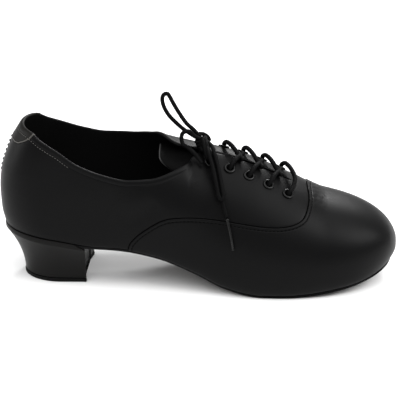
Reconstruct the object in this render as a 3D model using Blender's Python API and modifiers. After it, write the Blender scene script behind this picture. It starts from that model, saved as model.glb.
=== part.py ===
"""A men's ballroom dance shoe for the right foot, standing empty on its heel and sole.

X runs from heel to toe, Y to the inner (medial) side and Z up. The origin is on the floor
under the middle of the heel. Metres.
"""
from collections import namedtuple
from math import cos, pi, sin

import bmesh
import bpy
import numpy as np
from mathutils import Vector

# Driving sizes of the shoe
LENGTH = 0.292
BALL_WIDTH = 0.098
INSTEP_HEIGHT = 0.100
BACK_HEIGHT = 0.121
HEEL_HEIGHT = 0.040
NOSE_HEIGHT = 0.026
TOE_SPRING = 0.014
BACK_LEAN = 0.018

# Walls, sheets and the gap between neighbours
WALL = 0.0018
OVERLAY = 0.0006
SOLE_THICKNESS = 0.0026
INSOLE_THICKNESS = 0.002
TONGUE_THICKNESS = 0.0016
GAP = 0.0003
TONGUE_GAP = 0.0014

# Heel block and its top lift; the breast is turned a little out of square, as the heel is
TOP_LIFT = 0.003
HEEL_LENGTH = 0.062
HEEL_BASE_BACK = 0.0175
HEEL_BASE_WIDTH = 0.045
HEEL_FLARE = 2.4
BREAST_HOLLOW = 0.003
BREAST_TURN = 0.05
SEAT_GAP = 0.0006

# The origin lies this far in front of the rearmost point
HEEL_CENTRE = 0.041

# Lower edge of the upper
FEATHER_SHARE = 0.93
SOLE_MARGIN = 0.0006
LASTING_HEIGHT = 0.013
HEEL_CUP_HEIGHT = 0.024
NOSE_OVERHANG = 0.0035
INSOLE_INSET = 0.0024

# Throat, facings and eyelets
CORNER_ALONG = 0.482
THROAT_ALONG = 0.738
TREAD_ALONG = (0.650, 0.700)
EYELET_PAIRS = 5
EYELET_FIRST = 0.527
EYELET_LAST = 0.719
EYELET_FROM_THROAT = (0.0115, 0.0155)
EYELET_OUTER = 0.0084
EYELET_BORE = 0.0044
EYELET_RIM = 0.0008
EYELET_SHANK = 0.0056

# Tongue: where it starts and ends along the shoe, and its half width at both ends
TONGUE_TOP = 0.398
TONGUE_FOOT = 0.770
TONGUE_HALF_TOP = 0.025
TONGUE_HALF_FOOT = 0.018

# Lace and its tip
LACE = 0.0027
TIP = 0.0023
LACE_LIFT = 0.0003
ARCH = 0.0042
LEAD_MIDDLE = 0.50
LEAD_RISE = 0.0008
KNOT_RADIUS = 0.0046
KNOT_HALF_LENGTH = 0.0072
LEAD_CLEAR = 1.14
BOW_CLEAR = 1.06
KNOT_PLACE = (0.1068, -0.0012, 0.1036)
KNOT_AXIS = (-0.42, 0.30, 0.86)

# Routes of the bow's free stretches, from the knot outward, chosen by hand
LOOP_UP = (
    (0.1052, 0.0006, 0.1050),
    (0.1000, 0.0018, 0.1078),
    (0.0933, 0.0030, 0.1121),
    (0.0877, 0.0045, 0.1167),
    (0.0831, 0.0055, 0.1214),
    (0.0796, 0.0062, 0.1272),
    (0.0781, 0.0066, 0.1330),
    (0.0790, 0.0066, 0.1368),
    (0.0818, 0.0062, 0.1380),
    (0.0842, 0.0056, 0.1358),
    (0.0870, 0.0048, 0.1312),
    (0.0910, 0.0036, 0.1246),
    (0.0962, 0.0024, 0.1170),
    (0.1008, 0.0014, 0.1122),
    (0.1046, 0.0004, 0.1080),
)
LOOP_DOWN = (
    (0.1078, -0.0040, 0.1040),
    (0.1104, -0.0098, 0.1032),
    (0.1117, -0.0152, 0.1014),
    (0.1144, -0.0226, 0.0950),
    (0.1165, -0.0283, 0.0875),
    (0.1187, -0.0330, 0.0802),
    (0.1203, -0.0365, 0.0739),
    (0.1214, -0.0394, 0.0684),
    (0.1234, -0.0413, 0.0652),
    (0.1254, -0.0394, 0.0684),
    (0.1240, -0.0365, 0.0741),
    (0.1222, -0.0328, 0.0804),
    (0.1201, -0.0279, 0.0877),
    (0.1182, -0.0222, 0.0951),
    (0.1157, -0.0150, 0.1016),
    (0.1140, -0.0092, 0.1038),
    (0.1092, -0.0012, 0.1052),
)
END_SHORT = (
    (0.1056, -0.0020, 0.1062),
    (0.1010, -0.0042, 0.1098),
    (0.0985, -0.0046, 0.1128),
    (0.0958, -0.0052, 0.1136),
    (0.0930, -0.0056, 0.1122),
    (0.0921, -0.0066, 0.1086),
    (0.0934, -0.0084, 0.1048),
    (0.0962, -0.0110, 0.1022),
    (0.0998, -0.0136, 0.1000),
    (0.1036, -0.0160, 0.0973),
    (0.1072, -0.0184, 0.0943),
)
END_LONG = (
    (0.1150, -0.0118, 0.0992),
    (0.1154, -0.0146, 0.0973),
    (0.1166, -0.0192, 0.0922),
    (0.1184, -0.0247, 0.0848),
    (0.1202, -0.0297, 0.0780),
    (0.1217, -0.0334, 0.0722),
    (0.1233, -0.0366, 0.0665),
    (0.1249, -0.0394, 0.0612),
)
TIP_ROUTE = (
    (0.1251, -0.0398, 0.0605),
    (0.1268, -0.0425, 0.0540),
    (0.1283, -0.0447, 0.0468),
    (0.1296, -0.0464, 0.0390),
)

# Fineness of the faceted surfaces
STATIONS = 33
ROWS = 13

Section = namedtuple("Section", "along lateral medial ridge_shift throat_shift ridge full")
SECTIONS = (
    Section(0.00, 0.325, 0.325, 0.00, 0.000, 1.620, 2.0),
    Section(0.12, 0.325, 0.320, 0.00, 0.000, 1.620, 2.0),
    Section(0.25, 0.335, 0.315, 0.02, 0.020, 1.400, 2.2),
    Section(0.34, 0.350, 0.320, 0.04, 0.060, 1.140, 2.5),
    Section(0.41, 0.370, 0.335, 0.06, 0.080, 1.030, 2.5),
    Section(0.49, 0.405, 0.365, 0.07, 0.085, 1.000, 2.2),
    Section(0.58, 0.460, 0.425, 0.07, 0.085, 0.940, 2.0),
    Section(0.66, 0.505, 0.470, 0.06, 0.080, 0.850, 2.0),
    Section(0.74, 0.512, 0.480, 0.05, 0.070, 0.735, 2.1),
    Section(0.82, 0.512, 0.480, 0.04, 0.050, 0.625, 2.2),
    Section(1.00, 0.512, 0.480, 0.00, 0.000, 0.585, 2.3),
)

Bottom = namedtuple("Bottom", "along height")
BOTTOMS = (
    Bottom(0.00, 1.00),
    Bottom(0.06, 0.94),
    Bottom(0.13, 0.86),
    Bottom(0.21, 0.77),
    Bottom(0.30, 0.735),
    Bottom(0.39, 0.62),
    Bottom(0.49, 0.35),
    Bottom(0.56, 0.12),
    Bottom(0.62, 0.02),
    Bottom(0.65, 0.00),
)

Collar = namedtuple("Collar", "along lateral medial")
COLLARS = (
    Collar(0.00, 1.000, 1.000),
    Collar(0.04, 0.985, 0.980),
    Collar(0.09, 0.935, 0.925),
    Collar(0.14, 0.875, 0.885),
    Collar(0.20, 0.790, 0.850),
    Collar(0.26, 0.735, 0.825),
    Collar(0.33, 0.700, 0.815),
    Collar(0.38, 0.705, 0.825),
    Collar(0.44, 0.745, 0.825),
    Collar(0.49, 0.790, 0.800),
)

Slit = namedtuple("Slit", "along half_width")
SLITS = (
    Slit(0.482, 0.110),
    Slit(0.500, 0.055),
    Slit(0.525, 0.026),
    Slit(0.640, 0.024),
    Slit(0.710, 0.022),
    Slit(0.738, 0.000),
)

Lean = namedtuple("Lean", "height forward")
LEANS = (
    Lean(0.30, 0.30),
    Lean(0.36, 0.14),
    Lean(0.45, 0.03),
    Lean(0.58, 0.00),
    Lean(0.70, 0.10),
    Lean(0.78, 0.27),
    Lean(0.89, 0.58),
    Lean(0.95, 0.82),
    Lean(1.00, 1.10),
)

# Side view of the seam where the vamp lies over the quarters, from the sole up to the ridge
Seam = namedtuple("Seam", "along height")
VAMP_SEAM = (
    Seam(0.318, 0.100),
    Seam(0.326, 0.330),
    Seam(0.342, 0.415),
    Seam(0.370, 0.490),
    Seam(0.410, 0.565),
    Seam(0.450, 0.590),
    Seam(0.510, 0.590),
    Seam(0.600, 0.560),
    Seam(0.680, 0.535),
    Seam(0.725, 0.540),
    Seam(0.755, 0.570),
    Seam(0.770, 0.630),
    Seam(0.773, 0.670),
    Seam(0.768, 0.740),
    Seam(0.765, 1.100),
)

# Side view of the patch at the back of the collar
PATCH = (
    Seam(-0.10, 0.86),
    Seam(0.055, 0.86),
    Seam(0.072, 0.88),
    Seam(0.094, 0.95),
    Seam(0.094, 1.20),
    Seam(-0.10, 1.20),
)
PATCH_TRIM = 0.0035
OVERLAY_LIFT_OFF = 0.004

LATERAL, MEDIAL = -1, 1
LEAD_START = {LATERAL: 0.52, MEDIAL: 0.78}
TOE_ROUND = {LATERAL: (0.66, 2.8, 2.0), MEDIAL: (0.70, 2.5, 1.9)}
HEEL_ROUND = (0.87, 2.0, 2.1)
NOSE_ROUND = (0.78, 2.0, 2.0)


def column(table, name, along):
    """A table's column at any share of the length, on a smooth curve that adds no humps."""
    places = np.array([row[0] for row in table])
    values = np.array([getattr(row, name) for row in table])
    along = np.clip(along, places[0], places[-1])
    steps = np.diff(places)
    slopes = np.diff(values) / steps
    tangents = np.concatenate([slopes[:1], np.zeros(len(slopes) - 1), slopes[-1:]])
    for i in range(1, len(slopes)):
        before, after = slopes[i - 1], slopes[i]
        if before * after > 0:
            near = 2 * steps[i] + steps[i - 1]
            far = steps[i] + 2 * steps[i - 1]
            tangents[i] = (near + far) / (near / before + far / after)
    k = np.clip(np.searchsorted(places, along, "right") - 1, 0, len(steps) - 1)
    t = (along - places[k]) / steps[k]
    return (
        (2 * t**3 - 3 * t**2 + 1) * values[k]
        + (t**3 - 2 * t**2 + t) * steps[k] * tangents[k]
        + (3 * t**2 - 2 * t**3) * values[k + 1]
        + (t**3 - t**2) * steps[k] * tangents[k + 1]
    )


def closing(along, start, bulge, tightness):
    """1 up to start, then down to 0 at the end on a superellipse."""
    reach = np.clip((along - start) / (1 - start), 0, 1)
    return (1 - reach**bulge) ** (1 / tightness)


def half_width(along, side):
    name = "lateral" if side == LATERAL else "medial"
    width = BALL_WIDTH * column(SECTIONS, name, along)
    return width * closing(along, *TOE_ROUND[side]) * closing(1 - along, *HEEL_ROUND)


def sole_bottom(along):
    spring = TOE_SPRING * np.clip((along - TREAD_ALONG[1]) / (1 - TREAD_ALONG[1]), 0, 1) ** 1.7
    return HEEL_HEIGHT * column(BOTTOMS, "height", along) + spring


def feather_height(along):
    """Height of the upper's lower edge, just clear of the sole."""
    return sole_bottom(along) + SOLE_THICKNESS + GAP


def ridge_height(along):
    ridge = INSTEP_HEIGHT * column(SECTIONS, "ridge", along)
    return NOSE_HEIGHT + (ridge - NOSE_HEIGHT) * closing(along, *NOSE_ROUND)


def forward(along, height):
    """X of a point of the last: sections lean forward as the back of the heel does."""
    fade = np.clip(1 - along / 0.30, 0, 1) ** 1.3
    lean = BACK_LEAN * column(LEANS, "forward", height / BACK_HEIGHT) * fade
    return LENGTH * along - HEEL_CENTRE + lean


def overhang(along):
    """How far the feather edge is tucked back under the nose."""
    return NOSE_OVERHANG * np.clip((along - 0.80) / 0.20, 0, 1) ** 2


def section(along, side, fine=40):
    """Half a section of the last, from the feather edge round to the ridge."""
    width = float(half_width(along, side))
    low = float(feather_height(along))
    top = float(ridge_height(along))
    ridge_y = BALL_WIDTH * float(column(SECTIONS, "ridge_shift", along)) * side
    power = 2 / float(column(SECTIONS, "full", along))
    cup = HEEL_CUP_HEIGHT + (LASTING_HEIGHT - HEEL_CUP_HEIGHT) * min(1, max(0, along - 0.2) / 0.35)
    middle = low + min(cup, 0.5 * (top - low))
    foot = width * FEATHER_SHARE
    turn = np.linspace(0, pi / 2, fine // 3)
    rise = np.linspace(0, pi / 2, fine)[1:]
    y = np.concatenate([
        foot + (width - foot) * np.sin(turn),
        ridge_y + (width - ridge_y) * np.cos(rise) ** power,
    ])
    z = np.concatenate([
        middle - (middle - low) * np.cos(turn),
        middle + (top - middle) * np.sin(rise) ** power,
    ])
    tucked = np.clip((middle - z) / (middle - low), 0, 1) ** 2
    x = forward(along, z) - tucked * overhang(along)
    return np.stack([x, side * y, z], 1)


def lengths_along(points):
    steps = np.linalg.norm(np.diff(points, axis=0), axis=1)
    return np.concatenate([[0], np.cumsum(steps)])


def between(points, lengths, at):
    return np.stack([np.interp(at, lengths, points[:, k]) for k in range(3)], 1)


def half_path(along, side):
    """Points from one feather edge up to the throat line, which lies lateral of the ridge.

    Also gives the length along them at the ridge.
    """
    own = section(along, side)
    lengths = lengths_along(own)
    ridge = lengths[-1]
    shift = BALL_WIDTH * float(column(SECTIONS, "throat_shift", along))
    if shift == 0:
        return own, ridge
    if side == LATERAL:
        kept = lengths < ridge - shift
        end = between(own, lengths, [ridge - shift])
        return np.concatenate([own[kept], end]), ridge - shift
    over = section(along, LATERAL)[::-1]
    lengths = lengths_along(over)
    kept = (lengths > 0) & (lengths < shift)
    return np.concatenate([own, over[kept], between(over, lengths, [shift])]), ridge


def edge_length(along, side, points, lengths, ridge):
    """Length from the feather to the collar, the throat's edge or the throat line."""
    if along < CORNER_ALONG:
        name = "lateral" if side == LATERAL else "medial"
        height = BACK_HEIGHT * float(column(COLLARS, name, along))
        flank = lengths <= ridge + 1e-9
        return float(np.interp(height, points[flank, 2], lengths[flank]))
    if along < THROAT_ALONG:
        return lengths[-1] - BALL_WIDTH * float(column(SLITS, "half_width", along))
    return lengths[-1]


def wall(along, side, rows=ROWS, low_trim=0, high_trim=0):
    """Points up the upper's wall at one station, from the feather to its edge."""
    points, ridge = half_path(along, side)
    lengths = lengths_along(points)
    stop = edge_length(along, side, points, lengths, ridge)
    if along < THROAT_ALONG:
        stop -= high_trim
    shares = np.linspace(0, 1, rows) ** 1.2
    return between(points, lengths, low_trim + (stop - low_trim) * shares)


def beside_throat(along, side, distance, lift=0):
    """A point this far from the throat line, raised off the surface, and the normal there."""
    step = 0.004

    def on(place, out):
        points, _ = half_path(place, side)
        lengths = lengths_along(points)
        return between(points, lengths, [lengths[-1] - out])[0]

    here = on(along, distance)
    ahead = on(along + step, distance) - on(along - step, distance)
    down = on(along, distance + step) - on(along, distance - step)
    normal = np.cross(ahead, down) * side
    normal /= np.linalg.norm(normal)
    return here + normal * lift, normal


def stations(count=STATIONS):
    """Shares of the length, close together at heel and toe.

    The ends of the throat and of the flat tread are among them.
    """
    shares = 0.5 - 0.5 * np.cos(np.linspace(0, pi, count))
    for fixed in (CORNER_ALONG, THROAT_ALONG, *TREAD_ALONG):
        shares[np.argmin(abs(shares - fixed))] = fixed
    return shares


def collection(name):
    made = bpy.data.collections.new(name)
    bpy.context.scene.collection.children.link(made)
    return made


def material(name, colour, roughness, metallic=0.0):
    made = bpy.data.materials.new(name)
    made.use_nodes = True
    shader = made.node_tree.nodes["Principled BSDF"]
    shader.inputs["Base Color"].default_value = (*colour, 1)
    shader.inputs["Roughness"].default_value = roughness
    shader.inputs["Metallic"].default_value = metallic
    return made


def mesh_object(name, vertices, faces, home, finish=None):
    mesh = bpy.data.meshes.new(name)
    mesh.from_pydata([tuple(v) for v in vertices], [], faces)
    mesh.shade_smooth()
    made = bpy.data.objects.new(name, mesh)
    home.objects.link(made)
    if finish:
        mesh.materials.append(finish)
    return made


def helper(made):
    made.hide_render = True
    made.display_type = "WIRE"
    return made


def boolean(target, cutter, operation):
    step = target.modifiers.new(operation.title(), "BOOLEAN")
    step.operation = operation
    step.object = cutter


def solidify(target, thickness, offset=-1.0):
    step = target.modifiers.new("Wall", "SOLIDIFY")
    step.thickness = thickness
    step.offset = offset
    step.use_even_offset = True
    step.use_quality_normals = True


def upper_sheet(name, home, finish=None, low_trim=0, high_trim=0):
    """The upper's outer surface: columns of points round the foot, joined up the vamp."""
    along = stations()
    last = len(along) - 1
    vertices = []
    columns = {}
    for side in (LATERAL, MEDIAL):
        for i, place in enumerate(along):
            if side == MEDIAL and i in (0, last):
                columns[side, i] = columns[LATERAL, i]
                continue
            points = wall(place, side, ROWS, low_trim, high_trim)
            column_points = list(range(len(vertices), len(vertices) + ROWS))
            vertices.extend(points)
            if side == MEDIAL and place >= THROAT_ALONG:
                vertices.pop()
                column_points[-1] = columns[LATERAL, i][-1]
            columns[side, i] = column_points
    ring = [columns[LATERAL, i] for i in range(last + 1)]
    ring += [columns[MEDIAL, i] for i in range(last - 1, 0, -1)]
    faces = []
    for here, there in zip(ring, ring[1:] + ring[:1]):
        for j in range(ROWS - 1):
            faces.append((here[j], there[j], there[j + 1], here[j + 1]))
    return mesh_object(name, vertices, faces, home, finish)


def prism(name, outline, home):
    """A side-view outline of (x, z) points, carried right across the shoe."""
    reach = BALL_WIDTH
    bm = bmesh.new()
    near = [bm.verts.new((x, -reach, z)) for x, z in outline]
    face = bm.faces.new(near)
    grown = bmesh.ops.extrude_face_region(bm, geom=[face])
    moved = [v for v in grown["geom"] if isinstance(v, bmesh.types.BMVert)]
    bmesh.ops.translate(bm, verts=moved, vec=(0, 2 * reach, 0))
    bmesh.ops.recalc_face_normals(bm, faces=bm.faces)
    mesh = bpy.data.meshes.new(name)
    bm.to_mesh(mesh)
    bm.free()
    made = bpy.data.objects.new(name, mesh)
    home.objects.link(made)
    return helper(made)


def eyelet_places():
    """Side, place and normal of each eyelet, from the ankle down to the toe."""
    places = []
    for pair in range(EYELET_PAIRS):
        share = pair / (EYELET_PAIRS - 1)
        along = EYELET_FIRST + (EYELET_LAST - EYELET_FIRST) * share
        near, far = EYELET_FROM_THROAT
        distance = near + (far - near) * share
        for side in (LATERAL, MEDIAL):
            point, normal = beside_throat(along, side, distance)
            places.append((pair + 1, side, Vector(point), Vector(normal)))
    return places


def make_upper(home, cutters, leather):
    """The hollow upper, with the vamp and the back patch standing proud and the eyelet holes cut."""
    upper = upper_sheet("upper", home, leather)
    solidify(upper, WALL)
    layer = helper(upper_sheet("vamp_layer", cutters, None, OVERLAY_LIFT_OFF, PATCH_TRIM))
    depth = OVERLAY + WALL / 2
    solidify(layer, depth, 2 * OVERLAY / depth - 1)
    seam = [(LENGTH * row.along - HEEL_CENTRE, INSTEP_HEIGHT * row.height) for row in VAMP_SEAM]
    beyond = LENGTH * 1.1
    vamp = prism("vamp_outline", seam + [(beyond, seam[-1][1]), (beyond, -0.01), (seam[0][0], -0.01)], cutters)
    patch = [(LENGTH * row.along - HEEL_CENTRE, BACK_HEIGHT * row.height) for row in PATCH]
    back = prism("patch_outline", patch, cutters)
    boolean(vamp, back, "UNION")
    boolean(layer, vamp, "INTERSECT")
    boolean(upper, layer, "UNION")
    for pair, side, point, normal in eyelet_places():
        bpy.ops.mesh.primitive_cylinder_add(
            vertices=12, radius=EYELET_SHANK / 2 + GAP, depth=0.012, location=point
        )
        hole = bpy.context.object
        hole.rotation_euler = normal.to_track_quat("Z", "Y").to_euler()
        hole.name = f"hole_{pair}_{'lateral' if side == LATERAL else 'medial'}"
        for owner in list(hole.users_collection):
            owner.objects.unlink(hole)
        cutters.objects.link(hole)
        boolean(upper, helper(hole), "DIFFERENCE")
    return upper


def sole_point(along, side, height, outset=0.0):
    """A point of the sole's outline, this far outside the feather edge."""
    x = forward(along, feather_height(along)) - overhang(along) + outset * (2 * along - 1)
    return float(x), side * float(half_width(along, side) * FEATHER_SHARE + outset), float(height)


def strips(name, rings, home, finish):
    """A closed solid from two or more rings, low to high, of pairs of points across the shoe.

    A ring is a list of (lateral, medial) pairs from heel to toe, and may end in a front row.
    """
    vertices = []
    faces = []
    starts = []
    for pairs, front in rings:
        starts.append(len(vertices))
        outline = [lateral for lateral, _ in pairs]
        outline += list(front)
        outline += [medial for _, medial in reversed(pairs)]
        vertices.extend(outline)
    count = len(vertices) // len(rings)
    pair_count = len(rings[0][0])
    for low, high in zip(starts, starts[1:]):
        for i in range(count):
            j = (i + 1) % count
            faces.append((low + i, low + j, high + j, high + i))
    for start, turned in ((starts[0], True), (starts[-1], False)):
        caps = [
            (start + i, start + i + 1, start + count - 2 - i, start + count - 1 - i)
            for i in range(pair_count - 1)
        ]
        if count > 2 * pair_count:
            caps.append(tuple(range(start + pair_count - 1, start + count - pair_count + 1)))
        faces += [cap[::-1] if turned else cap for cap in caps]
    return mesh_object(name, vertices, faces, home, finish)


def make_outsole(home, finish):
    rings = []
    for lift in (0, SOLE_THICKNESS):
        pairs = []
        for place in stations():
            height = sole_bottom(place) + lift
            pairs.append([sole_point(place, side, height, SOLE_MARGIN) for side in (LATERAL, MEDIAL)])
        rings.append((pairs, []))
    return strips("outsole", rings, home, finish)


def make_insole(home, finish):
    rings = []
    shrink = 1 - 2 * INSOLE_INSET / LENGTH
    for lift in (GAP, GAP + INSOLE_THICKNESS):
        pairs = []
        for place in stations()[1:-1]:
            inner = 0.5 + (place - 0.5) * shrink
            height = float(sole_bottom(inner)) + SOLE_THICKNESS + lift
            pair = []
            for side in (LATERAL, MEDIAL):
                x, _, z = sole_point(inner, side, height)
                half = max(0.001, float(half_width(place, side)) * FEATHER_SHARE - INSOLE_INSET)
                pair.append((x, side * half, z))
            pairs.append(pair)
        rings.append((pairs, []))
    return strips("insole", rings, home, finish)


def heel_pairs(down, outset=0.0):
    """One level of the heel block, from its seat under the sole, at 0, to its base, at 1."""
    blend = 1 - (1 - down) ** HEEL_FLARE
    breast = HEEL_LENGTH / LENGTH
    pairs = []
    base = TOP_LIFT + GAP
    for share in (0, 0.02, 0.07, 0.16, 0.30, 0.48, 0.70, 1):
        pair = []
        for side in (LATERAL, MEDIAL):
            seat = sole_point(share * breast, side, 0, SOLE_MARGIN)
            turned = share * (breast + BREAST_TURN * seat[1] / LENGTH)
            seat_z = float(sole_bottom(turned)) - SEAT_GAP
            length = HEEL_LENGTH - HEEL_BASE_BACK
            half = HEEL_BASE_WIDTH / 2 * float(closing(1 - share, 0.40, 2.0, 2.0)) + 0.0004
            base_x = HEEL_BASE_BACK - HEEL_CENTRE + length * share
            x = seat[0] + (base_x - seat[0]) * blend
            y = seat[1] + (side * half - seat[1]) * blend
            z = seat_z + (base - seat_z) * down
            pair.append((x + BREAST_TURN * y * share + outset * (2 * share - 1), y + side * outset, z))
        pairs.append(pair)
    front = []
    lateral, medial = pairs[-1]
    for step in range(1, 6):
        share = step / 6
        hollow = BREAST_HOLLOW * (1 - (2 * share - 1) ** 2)
        x = lateral[0] + (medial[0] - lateral[0]) * share - hollow
        y = lateral[1] + (medial[1] - lateral[1]) * share
        z = lateral[2]
        if down < 1:
            along = (x - lateral[0]) / LENGTH
            seat_z = float(sole_bottom(breast + along)) - SEAT_GAP
            z = seat_z + (base - seat_z) * down
        front.append((x, y, z))
    return pairs, front


def make_heel(home, finish):
    levels = (1.0, 0.84, 0.66, 0.48, 0.32, 0.18, 0.08, 0.0)
    return strips("heel", [heel_pairs(down) for down in levels], home, finish)


def make_top_lift(home, finish):
    rings = []
    for height in (0.0, TOP_LIFT):
        pairs, front = heel_pairs(1.0, GAP)
        flat = [[(x, y, height) for x, y, _ in pair] for pair in pairs]
        rings.append((flat, [(x, y, height) for x, y, _ in front]))
    return strips("heel_top_lift", rings, home, finish)


def make_tongue(home, finish):
    """A curved flap just inside the facings and the vamp."""
    rows, across = 12, 10
    vertices = []
    for row in range(rows + 1):
        share = row / rows
        place = TONGUE_TOP + (TONGUE_FOOT - TONGUE_TOP) * share
        half = TONGUE_HALF_TOP + (TONGUE_HALF_FOOT - TONGUE_HALF_TOP) * share
        for step in range(across + 1):
            distance = half * (2 * step / across - 1)
            side = LATERAL if distance < 0 else MEDIAL
            point, _ = beside_throat(place, side, abs(distance), -WALL - TONGUE_GAP)
            vertices.append(point)
    faces = []
    wide = across + 1
    for row in range(rows):
        for step in range(across):
            first = row * wide + step
            faces.append((first, first + wide, first + wide + 1, first + 1))
    tongue = mesh_object("tongue", vertices, faces, home, finish)
    solidify(tongue, TONGUE_THICKNESS)
    return tongue


def make_eyelets(home, finish):
    """A rolled rim on the facing and a shank down through its hole, turned about local Z."""
    bore = EYELET_BORE / 2
    rim = EYELET_OUTER / 2
    shank = EYELET_SHANK / 2
    profile = [
        (bore, GAP + EYELET_RIM * 0.7),
        (bore + 0.0006, GAP + EYELET_RIM),
        (rim - 0.0007, GAP + EYELET_RIM),
        (rim, GAP + EYELET_RIM * 0.4),
        (rim - 0.0002, GAP),
        (shank, GAP),
        (shank, -WALL),
        (bore, -WALL),
    ]
    for pair, side, point, normal in eyelet_places():
        name = f"eyelet_{'lateral' if side == LATERAL else 'medial'}_{pair}"
        mesh = bpy.data.meshes.new(name)
        count = len(profile)
        edges = [(i, (i + 1) % count) for i in range(count)]
        mesh.from_pydata([(r, 0, z) for r, z in profile], edges, [])
        mesh.materials.append(finish)
        eyelet = bpy.data.objects.new(name, mesh)
        home.objects.link(eyelet)
        turn = eyelet.modifiers.new("Turned", "SCREW")
        turn.steps = 14
        turn.render_steps = 14
        turn.use_merge_vertices = True
        turn.merge_threshold = 0.00001
        turn.use_smooth_shade = True
        eyelet.location = point
        eyelet.rotation_euler = normal.to_track_quat("Z", "Y").to_euler()


def smooth_route(points, spacing):
    """Points this far apart on a smooth curve through the route's own points."""
    route = np.array(points, float)
    ends = np.concatenate([[2 * route[0] - route[1]], route, [2 * route[-1] - route[-2]]])
    dense = []
    for a, b, c, d in zip(ends, ends[1:], ends[2:], ends[3:]):
        for t in np.linspace(0, 1, 16, endpoint=False):
            dense.append(
                0.5 * (2 * b + (c - a) * t + (2 * a - 5 * b + 4 * c - d) * t**2 + (3 * b - a - 3 * c + d) * t**3)
            )
    dense.append(route[-1])
    dense = np.array(dense)
    lengths = lengths_along(dense)
    count = max(3, int(round(lengths[-1] / spacing)) + 1)
    return between(dense, lengths, np.linspace(0, lengths[-1], count))


def cord(name, points, diameter, home, finish):
    curve = bpy.data.curves.new(name, "CURVE")
    curve.dimensions = "3D"
    curve.bevel_depth = diameter / 2
    curve.bevel_resolution = 2
    curve.use_fill_caps = True
    curve.materials.append(finish)
    spline = curve.splines.new("POLY")
    spline.points.add(len(points) - 1)
    for point, place in zip(spline.points, points):
        point.co = (*place, 1)
    made = bpy.data.objects.new(name, curve)
    home.objects.link(made)
    return made


def as_mesh(made, home):
    """The same tube as a mesh with its caps welded on, so that it can be joined to another."""
    graph = bpy.context.evaluated_depsgraph_get()
    mesh = bpy.data.meshes.new_from_object(made.evaluated_get(graph))
    bm = bmesh.new()
    bm.from_mesh(mesh)
    bmesh.ops.remove_doubles(bm, verts=bm.verts, dist=0.00001)
    bmesh.ops.recalc_face_normals(bm, faces=bm.faces)
    bm.to_mesh(mesh)
    bm.free()
    name = made.name
    bpy.data.objects.remove(made)
    mesh.name = name
    solid = bpy.data.objects.new(name, mesh)
    home.objects.link(solid)
    return solid


def strand(pair, side, peak):
    """Route of one strand, from over its eyelet to just past the crossing at the throat."""
    share = (pair - 1) / (EYELET_PAIRS - 1)
    pitch = (EYELET_LAST - EYELET_FIRST) / (EYELET_PAIRS - 1)
    along = EYELET_FIRST + (EYELET_LAST - EYELET_FIRST) * share
    near, far = EYELET_FROM_THROAT
    distance = near + (far - near) * share
    low = GAP + EYELET_RIM + LACE_LIFT + LACE / 2
    route = []
    for reach, height in ((0, low), (0.35, low + peak), (0.7, low + peak), (1.0, low + 0.4 * peak)):
        point, _ = beside_throat(along + 0.5 * pitch * reach, side, distance * (1 - reach), height)
        route.append(point)
    past, _ = beside_throat(along + 0.66 * pitch, -side, distance * 0.32, low)
    route.append(past)
    return route


def make_crossings(home, cutters, finish):
    """Four crossings over the throat, and the bar across the last pair of eyelets."""
    for pair in range(2, EYELET_PAIRS):
        name = f"lace_crossing_{pair}"
        near = cord(name, smooth_route(strand(pair, LATERAL, 0.0004), 2 * LACE), LACE, home, finish)
        near = as_mesh(near, home)
        far = cord(name + "_far", smooth_route(strand(pair, MEDIAL, ARCH), 2 * LACE), LACE, cutters, finish)
        boolean(near, helper(as_mesh(far, cutters)), "UNION")
    low = GAP + EYELET_RIM + LACE_LIFT + LACE / 2
    route = []
    for side, reach, height, ahead in (
        (LATERAL, 1.0, low, 0.0),
        (LATERAL, 0.7, low + 0.4 * ARCH, 0.012),
        (LATERAL, 0.25, low + 0.8 * ARCH, 0.016),
        (MEDIAL, 0.25, low + ARCH, 0.010),
        (MEDIAL, 0.7, low + 0.8 * ARCH, 0.003),
        (MEDIAL, 1.0, low, 0.0),
    ):
        route.append(beside_throat(EYELET_LAST + ahead, side, EYELET_FROM_THROAT[1] * reach, height)[0])
    bar = cord("lace_bar", smooth_route(route, 2 * LACE), LACE, home, finish)
    as_mesh(bar, home)


def knot_share(point):
    """Where a point lies against the knot: 1 on its surface, less inside."""
    axis = Vector(KNOT_AXIS).normalized()
    offset = Vector(point) - Vector(KNOT_PLACE)
    rise = offset.dot(axis)
    out = (offset - axis * rise).length
    return ((rise / (KNOT_HALF_LENGTH + GAP)) ** 2 + (out / (KNOT_RADIUS + GAP)) ** 2) ** 0.5


def outside_knot(route, clear):
    """The stretch of a smooth route that lies outside the knot, enlarged this many times."""
    return [point for point in smooth_route(route, LACE / 4) if knot_share(point) > clear]


def make_knot(home, finish):
    bpy.ops.mesh.primitive_uv_sphere_add(segments=16, ring_count=10, radius=1, location=KNOT_PLACE)
    knot = bpy.context.object
    knot.name = "lace_knot"
    knot.scale = (KNOT_RADIUS, KNOT_RADIUS, KNOT_HALF_LENGTH)
    knot.rotation_euler = Vector(KNOT_AXIS).to_track_quat("Z", "Y").to_euler()
    knot.data.materials.append(finish)
    knot.data.shade_smooth()
    for owner in list(knot.users_collection):
        owner.objects.unlink(knot)
    home.objects.link(knot)


def make_leads(home, finish):
    """The two strands that rise from the top pair of eyelets to the knot."""
    low = 2 * GAP + EYELET_RIM + LACE_LIFT + LACE / 2
    for side, word in ((LATERAL, "lateral"), (MEDIAL, "medial")):
        start, _ = beside_throat(EYELET_FIRST, side, EYELET_FROM_THROAT[0] * LEAD_START[side], low)
        middle, _ = beside_throat(
            (EYELET_FIRST + CORNER_ALONG) / 2, side, EYELET_FROM_THROAT[0] * LEAD_MIDDLE, low + LEAD_RISE
        )
        clear = outside_knot([start, middle, KNOT_PLACE], LEAD_CLEAR)
        cord(f"lace_lead_{word}", smooth_route(clear, 1.5 * LACE), LACE, home, finish)


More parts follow.
